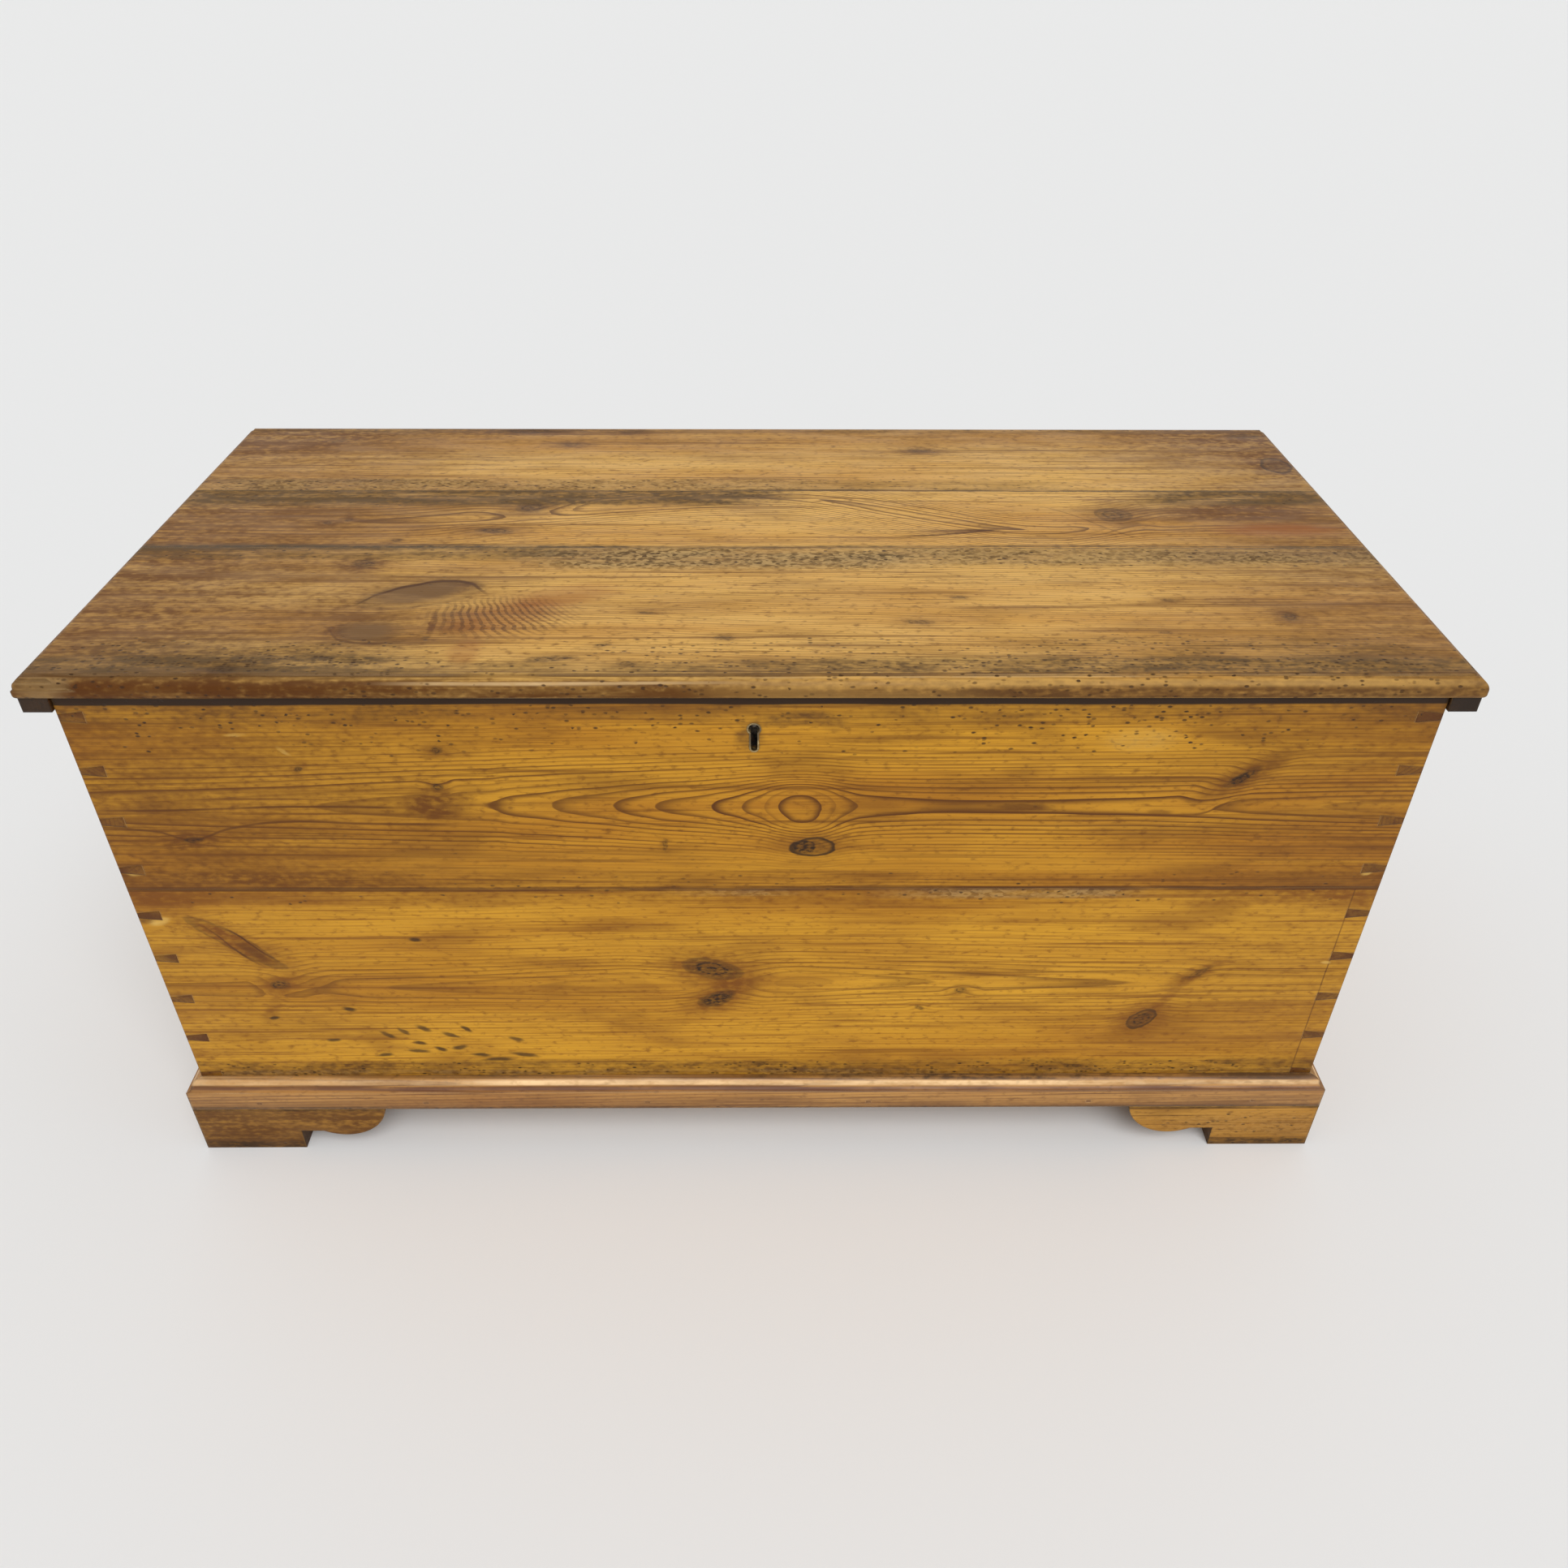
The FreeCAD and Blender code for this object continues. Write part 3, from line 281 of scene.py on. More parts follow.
    edge_radius = 0.0028
    rounded = start.node("Bevel", {"samples": 4}, {"Radius": edge_radius})
    straight = start.node("NewGeometry", {}, {}, "True Normal")
    edge = rounded.vector("DOT_PRODUCT", rounded, straight, output="Value").smooth(0.99, 0.80)
    wood = (edge * patchy.smooth(0.35, 0.65, 0.0, worn)).mix(wood, tint["pale"])
    wood = (end_grain * patchy.smooth(0.3, 0.7, 0.70, 0.95)).mix(wood, tint["ends"])
    rough = patchy.smooth(0.3, 0.7, 0.36, 0.52)
    for key in ("grime", "speckle"):
        if key in cover:
            rough = rough + cover[key] * 0.15

    # The raw inner side, where the polish ends
    if bare is not None:
        polish_end = 0.0003
        raw = inwards.smooth(bare - polish_end, bare)
        raw_light, raw_line, raw_streak = srgb(188, 146, 96), srgb(150, 106, 62), srgb(132, 96, 62)
        raw_cloud, raw_mottle, raw_knot = srgb(142, 100, 60), srgb(122, 86, 52), srgb(92, 60, 36)
        plain = (late * 0.5).mix(raw_light, raw_line)
        plain = streak.smooth(0.45, 0.8, 0.0, 0.5).mix(plain, raw_streak)
        plain = cloud.smooth(0.48, 0.72, 0.0, 0.5).mix(plain, raw_cloud)
        plain = mottle.smooth(0.52, 0.8, 0.0, 0.45).mix(plain, raw_mottle)
        if isinstance(core, Paint):
            plain = (core.capped() * grit * 0.8).mix(plain, raw_knot)
        wood = raw.mix(wood, plain)
        rough = rough + raw * 0.25
        hole = hole * (1.0 - raw * 0.85)
    wood = (hole * (grain * 0.5 + 0.45)).mix(wood, tint["knot"])

    relief = 0.0008
    height = late * 0.2 + fibre * 0.3 + streak * 0.4 - hole * 1.6 - core * 0.4 - rim * 0.4
    bump = start.node("Bump", {}, {"Height": height, "Strength": 0.35, "Distance": relief, "Normal": rounded})
    shader = tree.nodes["Principled BSDF"]
    shader.inputs["Specular IOR Level"].default_value = shine
    for key, value in (("Base Color", wood), ("Roughness", rough), ("Normal", bump)):
        tree.links.new(value.socket, shader.inputs[key])
    return material


def outer_face(node, axis, side):
    """Where a node's face lies on one axis, on its low (-1) or its high (1) side."""
    low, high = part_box(node)
    return high[axis] if side > 0 else low[axis]


def polished(node, axis, side):
    """A board's outer face, and how deep its polish goes: all but a raw skin on the inner side."""
    raw_skin = 0.0001
    low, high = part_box(node)
    return {"face": outer_face(node, axis, side), "bare": high[axis] - low[axis] - raw_skin}


def finish_with(material, *nodes):
    """Give CAD nodes a material in place of their plain one."""
    for node in nodes:
        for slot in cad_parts[node].material_slots:
            slot.material = material


X, Y, Z = 0, 1, 2
whole = (-0.6, 0.6)  # a band's from and to, past both ends of every board
foot_tone = {"light": (200, 146, 56), "amber": (168, 114, 32), "deep": (96, 56, 2), "knot": (44, 26, 6),
             "grime": (60, 38, 10), "chaff": (170, 132, 74), "pitch": (80, 54, 24), "line": (76, 42, 2),
             "pale": (208, 166, 96), "ends": (66, 40, 14)}
foot_grime = [(0.004, 0.008, *whole, 0.7, 0.10, "grime"), (0.056, 0.004, *whole, 0.85, 0.0, "grime")]
foot_dust = [("across", 0.03, 0.0, 0.3, "grime")]
foot_path = [(-0.6, 0.12, 0.03), (0.6, 0.10, 0.04)]
foot_front = pine("foot_front_pine", (X, Z, Y), path=foot_path, ring=0.003, tone=foot_tone, seed=1.0,
                  bands=foot_grime + [(0.030, 0.020, 0.40, 0.56, 0.3, 0.10, "speckle")],
                  # The fade along the board darkens the left foot as painted shade.
                  fades=[("along", 0.0, -0.42, 0.98, "deep")] + foot_dust,
                  **polished("front_left_foot_front", Y, -1))
for end, side in (("left", -1), ("right", 1)):
    foot_side = pine(f"{end}_foot_side_pine", (Y, Z, X), path=foot_path, ring=0.003, tone=foot_tone,
                     seed=2.0 + side, bands=foot_grime, fades=foot_dust,
                     **polished(f"front_{end}_foot_side", X, side))
    finish_with(foot_front, f"front_{end}_foot_front")
    finish_with(foot_side, f"front_{end}_foot_side", f"rear_{end}_foot_side")

# Rough pieces under and inside the chest: foot blocks, rear brackets, the nailed floor and the till.
# They are the same pine, sawn or planed and never polished, dry and a little grey with age.
bare_tone = {"light": (200, 160, 112), "amber": (178, 134, 86), "deep": (136, 96, 58), "knot": (84, 56, 34),
             "grime": (112, 92, 68), "chaff": (196, 170, 126), "pitch": (96, 78, 56), "line": (112, 76, 44),
             "pale": (214, 184, 140), "ends": (120, 88, 56)}
level = [(-0.6, 0.10, 0.03), (0.6, 0.12, 0.04)]
block_pine = pine("block_pine", (Z, X, Y), face=0.0, path=[(-0.1, 0.5, 0.03), (0.2, 0.5, 0.03)], ring=0.0028,
                  tone=bare_tone, seed=3.0)
rear_foot_pine = pine("rear_foot_pine", (X, Z, Y), face=outer_face("rear_left_foot_back", Y, 1), path=level,
                      ring=0.003, tone=bare_tone, seed=4.0, bands=foot_grime[:1])
floor_knots = [(x, y, length, width, 0, 2.5, 0.9, 0.4, 0.6) for x, y, length, width in (
    (-0.21, -0.14, 0.010, 0.008), (0.30, 0.02, 0.013, 0.009), (0.05, 0.17, 0.009, 0.007),
    (-0.40, 0.10, 0.008, 0.006))]
floor_pine = pine("floor_pine", (X, Y, Z), face=outer_face("floor_front_board", Z, 1),
                  path=[(-0.55, -0.15, 0.03), (0.1, -0.13, 0.012), (0.55, -0.14, 0.026)],
                  ring=0.0034, tone=bare_tone, seed=5.0, knots=floor_knots)
till_pine = pine("till_pine", (Y, Z, X), face=outer_face("till_front", X, 1),
                 path=[(-0.3, 0.46, 0.02), (0.3, 0.45, 0.03)], ring=0.003, tone=bare_tone, seed=6.0)
for end in ("left", "right"):
    finish_with(block_pine, f"front_{end}_foot_block", f"rear_{end}_foot_block")
    finish_with(rear_foot_pine, f"rear_{end}_foot_back")
finish_with(floor_pine, "floor_front_board", "floor_middle_board", "floor_rear_board")
finish_with(till_pine, "till_front", "till_bottom")

# Skirt: a planed pine moulding with a bead along its top, mitred at the front corners and nailed on.
# Hands and feet have rubbed the bead pale, and it also carries a painted highlight. Polish, dust and painted
# shade lie dark in the hollow under it. The flat face gets darker towards the bottom.
skirt_tone = {"light": (194, 142, 72), "amber": (166, 112, 48), "deep": (108, 66, 22), "knot": (50, 31, 14),
              "grime": (70, 46, 22), "chaff": (190, 156, 108), "pitch": (70, 52, 36), "line": (90, 46, 14),
              "pale": (252, 212, 158), "ends": (70, 42, 18)}
bead, bead_half = 0.0868, 0.0036
skirt_bands = [
    # The pale bands along the bead are rub wear and painted highlight. The line band under them is dust and
    # painted shade in the hollow.
    (bead, bead_half, -0.26, 0.30, 1.10, 0.0, "pale"), (bead, bead_half, -0.6, -0.26, 0.48, 0.0, "pale"),
    (bead, bead_half, 0.30, 0.6, 0.78, 0.0, "pale"), (0.0815, 0.0022, *whole, 0.9, 0.0, "line"),
    (0.0910, 0.0018, *whole, 0.9, 0.0, "grime"), (0.0580, 0.0030, *whole, 0.7, 0.1, "grime"),
]
for node, axes, side, seed in (("skirt_front", (X, Z, Y), -1, 7.0), ("skirt_left", (Y, Z, X), -1, 7.0),
                               ("skirt_right", (Y, Z, X), 1, 9.0)):
    finish_with(pine(f"{node}_pine", axes, face=outer_face(node, axes[2], side), path=level, ring=0.003,
                     tone=skirt_tone, seed=seed, shine=0.5, bands=skirt_bands,
                     # This fade makes the flat face darker towards the bottom, down to the dark band at its
                     # lower edge.
                     fades=[("across", 0.079, 0.058, 0.55, "deep")]), node)

# Front of the case: two wide pine boards glued edge to edge, with a tail between each pair of dark pins.
# Old amber polish, grimy at the rim, the seam and the skirt, with a painted shadow line under the lid and
# both ends of each board painted darker as shade. Knots and arrow-tipped grain are the photo's.
case_tone = {"light": (211, 154, 38), "amber": (184, 126, 24), "deep": (122, 70, 4), "knot": (46, 26, 6),
             "grime": (92, 58, 20), "chaff": (164, 134, 88), "pitch": (84, 66, 48), "line": (92, 50, 2),
             "pale": (222, 180, 92), "ends": (82, 42, 8)}
upper_tone = {**case_tone, "light": (204, 146, 34), "amber": (174, 114, 20), "deep": (106, 60, 2)}
pith_height, eye_x, eye_half, eye_bulge = 0.409, 0.036, 0.035, 0.42
pith_depths = [
    (-0.54, 0.0420), (-0.208, 0.0350), (-0.161, 0.0318), (-0.112, 0.0286), (-0.080, 0.0254),
    (-0.035, 0.0222), (-0.010, 0.0190), (0.008, 0.0158), (0.0185, 0.0126), (0.036, 0.0106),
    (0.0535, 0.0126), (0.065, 0.0158), (0.082, 0.0190), (0.13, 0.0210), (0.19, 0.0215),
    (0.26, 0.0210), (0.33, 0.0200), (0.40, 0.0176), (0.54, 0.0140),
]
upper_path = [(x, pith_height, depth, 1.0 - eye_bulge * math.exp(-((x - eye_x) / eye_half) ** 2))
              for x, depth in pith_depths]
upper_knots = [
    (0.047, 0.368, 0.019, 0.009, 0, -0.8, 0.5, 0.9, 0.6),
    (0.039, 0.3685, 0.012, 0.0070, -8, 0.0, 1.5, 0.0, 0.0),
    (0.044, 0.374, 0.012, 0.012, 0, -1.3, 0.0, 0.0, 0.0),
    (-0.252, 0.430, 0.006, 0.004, 0, 0.8, 0.9, 0.0, 0.3),
    (-0.460, 0.376, 0.010, 0.004, 4, 0.8, 0.8, 0.0, 0.5),
    (-0.074, 0.371, 0.0025, 0.008, 10, 0.0, 0.7, 0.0, 0.2),
    (0.388, 0.438, 0.020, 0.006, 35, 1.5, 0.75, 0.0, 0.7),
    (0.386, 0.437, 0.009, 0.0045, 30, 0.0, 0.9, 0.0, 0.0),
    (-0.247, 0.464, 0.006, 0.004, 0, 0.4, 0.8, 0.0, 0.3),
    (-0.359, 0.447, 0.004, 0.003, 0, 0.0, 0.8, 0.0, 0.2),
]
upper_stains = [
    (-0.255, 0.412, 0.036, 0.020, 0, 0.95, "deep"), (0.217, 0.4085, 0.032, 0.0045, 0, 0.8, "line"),
    (0.328, 0.404, 0.015, 0.0045, 0, 0.6, "line"), (-0.003, 0.478, 0.014, 0.018, 0, 0.7, "grime"),
    (0.032, 0.493, 0.040, 0.009, 4, 0.6, "grime"), (0.062, 0.489, 0.015, 0.010, 0, 0.55, "grime"),
    (0.5135, 0.338, 0.005, 0.0030, 0, 0.6, "pale"),
    (-0.400, 0.480, 0.011, 0.0024, 4, 0.4, "pale"), (-0.365, 0.464, 0.008, 0.0024, -40, 0.4, "pale"),
    (0.30, 0.474, 0.040, 0.016, 0, 0.3, "pale"), (-0.518, 0.342, 0.009, 0.006, 0, 0.7, "pale"),
]
upper_bands = [
    # The first band is painted shadow: a dark line along the top of the front, just under the lid's overhang.
    (0.5095, 0.0040, *whole, 2.6, 0.0, "knot"), (0.352, 0.016, -0.30, 0.36, 0.35, 0.0, "light"),
    (0.506, 0.022, *whole, 0.60, 0.07, "grime"), (0.482, 0.030, -0.5, 0.45, 0.0, 0.06, "grime"),
    (0.478, 0.020, 0.22, 0.34, 0.0, 0.10, "grime"), (0.333, 0.013, *whole, 0.34, 0.03, "deep"),
    (0.3242, 0.0024, *whole, 1.0, 0.0, "line"),
]
upper_threads = [
    (0.0017, 0.9, [(-0.53, 0.406), (-0.457, 0.407), (-0.374, 0.410), (-0.284, 0.409)]),
    (0.0017, 0.85, [(-0.527, 0.389), (-0.483, 0.384), (-0.460, 0.376), (-0.435, 0.385), (-0.406, 0.392),
                    (-0.367, 0.395), (-0.323, 0.393), (-0.250, 0.392)]),
    (0.0015, 0.7, [(0.345, 0.402), (0.367, 0.404), (0.389, 0.418)]),
    (0.0014, 0.6, [(0.401, 0.403), (0.450, 0.400), (0.520, 0.399)]),
]
lower_path = [(-0.54, 0.205, 0.024), (-0.25, 0.208, 0.020), (-0.04, 0.212, 0.014), (0.10, 0.214, 0.0195),
              (0.25, 0.212, 0.024), (0.54, 0.210, 0.027)]
lower_knots = [
    (-0.4535, 0.2615, 0.046, 0.009, -40, 1.5, 0.0, 0.35, 0.3),
    (-0.427, 0.211, 0.010, 0.0055, 10, 1.5, 0.9, 0.0, 0.6),
    (-0.039, 0.229, 0.027, 0.012, -14, 2.0, 1.05, 0.4, 0.8),
    (-0.037, 0.192, 0.019, 0.009, 25, 1.5, 1.45, 0.3, 0.8),
    (0.149, 0.180, 0.006, 0.0035, -40, 0.8, 0.8, 0.0, 0.2),
    (0.185, 0.202, 0.007, 0.004, 10, 0.8, 0.9, 0.0, 0.3),
    (0.394, 0.2225, 0.016, 0.0045, 35, 0.5, 0.6, 0.0, 0.6),
    (0.354, 0.164, 0.015, 0.010, 40, 1.5, 0.95, 0.7, 0.7),
    (0.300, 0.100, 0.010, 0.0035, 0, 0.0, 0.9, 0.0, 0.2),
    (0.449, 0.103, 0.008, 0.003, 0, 0.0, 0.7, 0.0, 0.2),
    (0.001, 0.105, 0.010, 0.004, 0, 0.0, 0.6, 0.0, 0.3),
]
dent_half_width, dent_strength = 0.0036, 0.85
dents = [
    (-0.371, 0.180, 0.0081, -15), (-0.393, 0.138, 0.0090, 5), (-0.342, 0.146, 0.0099, -30),
    (-0.327, 0.150, 0.0081, -38), (-0.308, 0.154, 0.0099, -30), (-0.284, 0.145, 0.0108, -22),
    (-0.269, 0.153, 0.0081, -40), (-0.314, 0.135, 0.0090, -12), (-0.316, 0.124, 0.0144, -6),
    (-0.297, 0.126, 0.0081, -30), (-0.279, 0.128, 0.0099, 12), (-0.260, 0.118, 0.0126, -8),
    (-0.224, 0.140, 0.0081, -20), (-0.218, 0.118, 0.0180, -10), (-0.298, 0.266, 0.0081, -10),
    (-0.442, 0.168, 0.0072, 20), (-0.350, 0.118, 0.0108, 4), (-0.244, 0.112, 0.0198, 3),
]
lower_stains = [(x, z, half, dent_half_width, turn, dent_strength, "knot") for x, z, half, turn in dents]
lower_stains += [
    (-0.4535, 0.2615, 0.050, 0.012, -40, 0.65, "deep"), (-0.440, 0.250, 0.026, 0.007, -42, 0.7, "line"),
    (0.507, 0.2345, 0.006, 0.0022, 0, 0.6, "pale"), (-0.440, 0.180, 0.032, 0.009, 60, 0.35, "deep"),
    (0.375, 0.195, 0.038, 0.007, 55, 0.4, "deep"), (-0.513, 0.287, 0.013, 0.006, 20, 0.8, "pale"),
    (-0.524, 0.288, 0.009, 0.004, 0, 0.8, "grime"),
]
lower_bands = [
    (0.314, 0.015, *whole, 0.55, 0.04, "deep"), (0.3218, 0.0022, *whole, 1.0, 0.0, "line"),
    (0.3165, 0.0070, 0.13, 0.31, 0.75, 0.08, "speckle"), (0.3180, 0.0050, -0.05, 0.02, 0.5, 0.0, "speckle"),
    (0.098, 0.016, *whole, 0.95, 0.12, "grime"), (0.203, 0.008, -0.32, -0.08, 0.35, 0.0, "deep"),
    (0.093, 0.006, *whole, 0.25, 0.06, "speckle"),
]
lower_threads = [
    (0.0024, 1.0, [(-0.478, 0.282), (-0.460, 0.259), (-0.436, 0.234)]),
    (0.0022, 1.0, [(-0.466, 0.284), (-0.444, 0.264), (-0.421, 0.240)]),
    (0.0012, 0.7, [(0.280, 0.149), (0.292, 0.152), (0.297, 0.161)]),
    (0.0012, 0.5, [(0.10, 0.222), (0.25, 0.224), (0.40, 0.226), (0.52, 0.224)]),
    (0.0012, 0.5, [(0.12, 0.206), (0.25, 0.205), (0.40, 0.207), (0.52, 0.208)]),
]
finish_with(pine("front_upper_pine", (X, Z, Y), path=upper_path, ring=0.0032, tone=upper_tone, seed=9.0,
                 contrast=0.95, worn=0.12, knots=upper_knots, stains=upper_stains, bands=upper_bands,
                 threads=upper_threads,
                 # These fades darken both ends of the board as painted shade.
                 fades=[("along", -0.12, -0.45, 0.70, "deep"), ("along", 0.30, 0.53, 0.49, "deep")],
                 **polished("front_upper_board", Y, -1)), "front_upper_board")
finish_with(pine("front_lower_pine", (X, Z, Y), path=lower_path, ring=0.0036, tone=case_tone, seed=10.0,
                 contrast=0.55, pits=0.012, worn=0.12, knots=lower_knots, stains=lower_stains,
                 bands=lower_bands, threads=lower_threads, scribes=[(0.5095, 0.095, 0.318, 0.7)],
                 # These fades darken both ends of the board as painted shade.
                 fades=[("along", -0.30, -0.53, 0.37, "deep"), ("along", 0.30, 0.53, 0.44, "deep")],
                 **polished("front_lower_board", Y, -1)), "front_lower_board")

# Ends and back of the case: the same boards and polish. The ends' pins show as dark end grain at the front.
# The back stood against a wall, so it is duller and only lightly coated.
end_knots = [
    (-0.12, 0.40, 0.012, 0.008, 0, 2.0, 0.8, 0.4, 0.7), (0.09, 0.33, 0.016, 0.010, 10, 2.0, 0.7, 0.5, 0.7),
    (0.02, 0.18, 0.011, 0.007, -12, 2.0, 0.9, 0.0, 0.6),
    (-0.16, 0.22, 0.030, 0.008, 30, 1.5, 0.5, 0.3, 0.7),
]
end_bands = [
    (0.506, 0.018, *whole, 0.5, 0.10, "grime"), (0.267, 0.010, *whole, 0.5, 0.04, "deep"),
    (0.2670, 0.0020, *whole, 0.7, 0.0, "line"), (0.097, 0.014, *whole, 0.65, 0.08, "grime"),
]
for end, side, seed in (("left", -1, 11.0), ("right", 1, 13.0)):
    upper = [(-0.28, 0.40, 0.030), (0.05 * side, 0.40, 0.012), (0.28, 0.40, 0.028)]
    lower = [(-0.28, 0.17, 0.026), (-0.1 * side, 0.17, 0.016), (0.28, 0.17, 0.030)]
    for board, path, ring, contrast, shift in (("upper", upper, 0.0034, 0.65, 0.0),
                                               ("lower", lower, 0.0038, 0.6, 1.0)):
        node = f"{end}_{board}_board"
        finish_with(pine(f"{end}_{board}_pine", (Y, Z, X), path=path, ring=ring, tone=case_tone,
                         seed=seed + shift, contrast=contrast, worn=0.12, knots=end_knots, bands=end_bands,
                         **polished(node, X, side)), node)
back_tone = {**case_tone, "light": (182, 138, 72), "amber": (154, 108, 50), "deep": (106, 68, 26)}
back_knots = [
    (-0.33, 0.43, 0.014, 0.009, 0, 2.5, 0.8, 0.4, 0.7), (0.12, 0.24, 0.012, 0.008, 15, 2.0, 0.9, 0.0, 0.6),
    (0.40, 0.41, 0.010, 0.007, 0, 2.0, 0.8, 0.4, 0.6), (-0.08, 0.16, 0.015, 0.009, 0, 2.0, 0.7, 0.5, 0.7),
]
back_bands = [
    (0.369, 0.010, *whole, 0.6, 0.05, "grime"), (0.090, 0.020, *whole, 0.7, 0.08, "grime"),
    (0.500, 0.020, *whole, 0.5, 0.08, "grime"),
]
upper = [(-0.55, 0.46, 0.036), (-0.10, 0.46, 0.012), (0.55, 0.45, 0.042)]
lower = [(-0.55, 0.22, 0.040), (0.20, 0.22, 0.014), (0.55, 0.23, 0.030)]
for board, path, ring, seed in (("upper", upper, 0.0034, 15.0), ("lower", lower, 0.0036, 16.0)):
    node = f"back_{board}_board"
    finish_with(pine(f"back_{board}_pine", (X, Z, Y), path=path, ring=ring, tone=back_tone, seed=seed,
                     contrast=0.65, pits=0.03, knots=back_knots, bands=back_bands,
                     **polished(node, Y, 1)), node)

# Lid: three glued boards with a thumb moulding planed on the front and ends, and a batten under each end.
# A browner, drier polish than the case, with pitted grey wear along the glue lines and dark old knots.
# Its ends and rear are painted darker as shade, its edges darker as grime and painted shade, and the thumb
# moulding carries painted highlight lines.
lid_tone = {"light": (227, 178, 95), "amber": (204, 149, 67), "deep": (107, 65, 16), "knot": (58, 34, 12),
            "grime": (98, 74, 44), "chaff": (186, 154, 102), "pitch": (78, 60, 38), "line": (84, 48, 12),
            "pale": (226, 190, 136), "smoke": (116, 82, 42), "red": (146, 84, 30), "nose_grime_and_shade": (84, 44, 0),
            "ends": (84, 52, 18)}
lid_look = {"axes": (X, Y, Z), "tone": lid_tone, "shine": 0.17, "cloudy": 0.32}
# Painted shade: the lid darkens towards both ends and towards the rear.
lid_left_painted_shade = ("along", -0.16, -0.50, 0.98, "deep")
lid_rear_left_painted_shade = ("along", -0.20, -0.56, 0.75, "deep")
# The inwards fade darkens the thumb moulding and the lid's other edges below its top face, as grime and
# painted shade.
lid_shade_and_grime_fades = [("along", 0.28, 0.54, 0.75, "deep"), ("inwards", 0.0012, 0.0040, 0.95, "nose_grime_and_shade"),
             ("across", 0.12, 0.27, 0.56, "deep")]
front_knots = [
    (-0.277, -0.127, 0.050, 0.021, 18, 3.0, 0.0, 0.25, 0.3),
    (-0.303, -0.188, 0.026, 0.016, -6, 2.0, 0.0, 0.2, 0.4),
    (-0.339, -0.069, 0.012, 0.010, 0, 1.5, 0.8, 0.0, 0.5),
    (-0.399, -0.247, 0.013, 0.008, 0, 0.5, 0.9, 0.0, 0.4),
    (-0.154, -0.233, 0.024, 0.0050, 8, 0.5, 0.95, 0.0, 0.3),
    (-0.119, -0.211, 0.008, 0.0035, 10, 0.0, 0.9, 0.0, 0.3),
    (-0.097, -0.240, 0.009, 0.0040, 0, 0.0, 0.7, 0.0, 0.3),
    (-0.087, -0.158, 0.009, 0.0030, 0, 0.0, 0.8, 0.0, 0.3),
    (-0.024, -0.199, 0.011, 0.0040, 0, 0.0, 0.8, 0.0, 0.3),
    (0.131, -0.174, 0.014, 0.0045, 0, 0.5, 0.8, 0.0, 0.4),
    (0.170, -0.131, 0.008, 0.0035, 0, 0.0, 0.8, 0.0, 0.3),
    (0.343, -0.135, 0.010, 0.0035, 0, 0.0, 0.6, 0.0, 0.4),
    (0.434, -0.165, 0.009, 0.0080, -30, 0.5, 0.8, 0.0, 0.4),
    (0.326, -0.191, 0.007, 0.0030, 0, 0.0, 0.6, 0.0, 0.2),
]
front_stains = [
    # The first smoke stain is the eye's knot colour with painted shade below its sunken upper edge.
    (-0.279, -0.122, 0.058, 0.025, 18, 1.10, "smoke"), (-0.306, -0.190, 0.032, 0.020, -6, 1.0, "smoke"),
    (-0.247, -0.112, 0.022, 0.012, 0, 0.8, "deep"), (-0.330, -0.188, 0.012, 0.012, 0, 0.7, "deep"),
    (-0.2570, -0.178, 0.004, 0.028, 3, 0.7, "deep"), (-0.2575, -0.200, 0.004, 0.004, 0, 0.5, "knot"),
    (-0.205, -0.165, 0.066, 0.034, 20, 0.55, "red"), (-0.160, -0.130, 0.060, 0.026, 20, 0.50, "red"),
    (-0.238, -0.178, 0.030, 0.030, 0, 0.55, "deep"), (-0.222, -0.222, 0.018, 0.030, 0, 0.45, "red"),
    (-0.530, -0.2600, 0.030, 0.0070, 0, 0.40, "chaff"),
]
front_threads = [
    # The first thread is the eye's thick dark upper rim, a painted shadow line along the sunken knot's edge.
    (0.0036, 1.0, [(-0.330, -0.147), (-0.324, -0.141), (-0.317, -0.130), (-0.301, -0.117), (-0.280, -0.107),
                   (-0.264, -0.102), (-0.246, -0.104), (-0.235, -0.111), (-0.222, -0.126)]),
    (0.0026, 0.8, [(-0.345, -0.178), (-0.334, -0.190), (-0.327, -0.201), (-0.314, -0.207), (-0.296, -0.209),
                   (-0.280, -0.207)]),
]
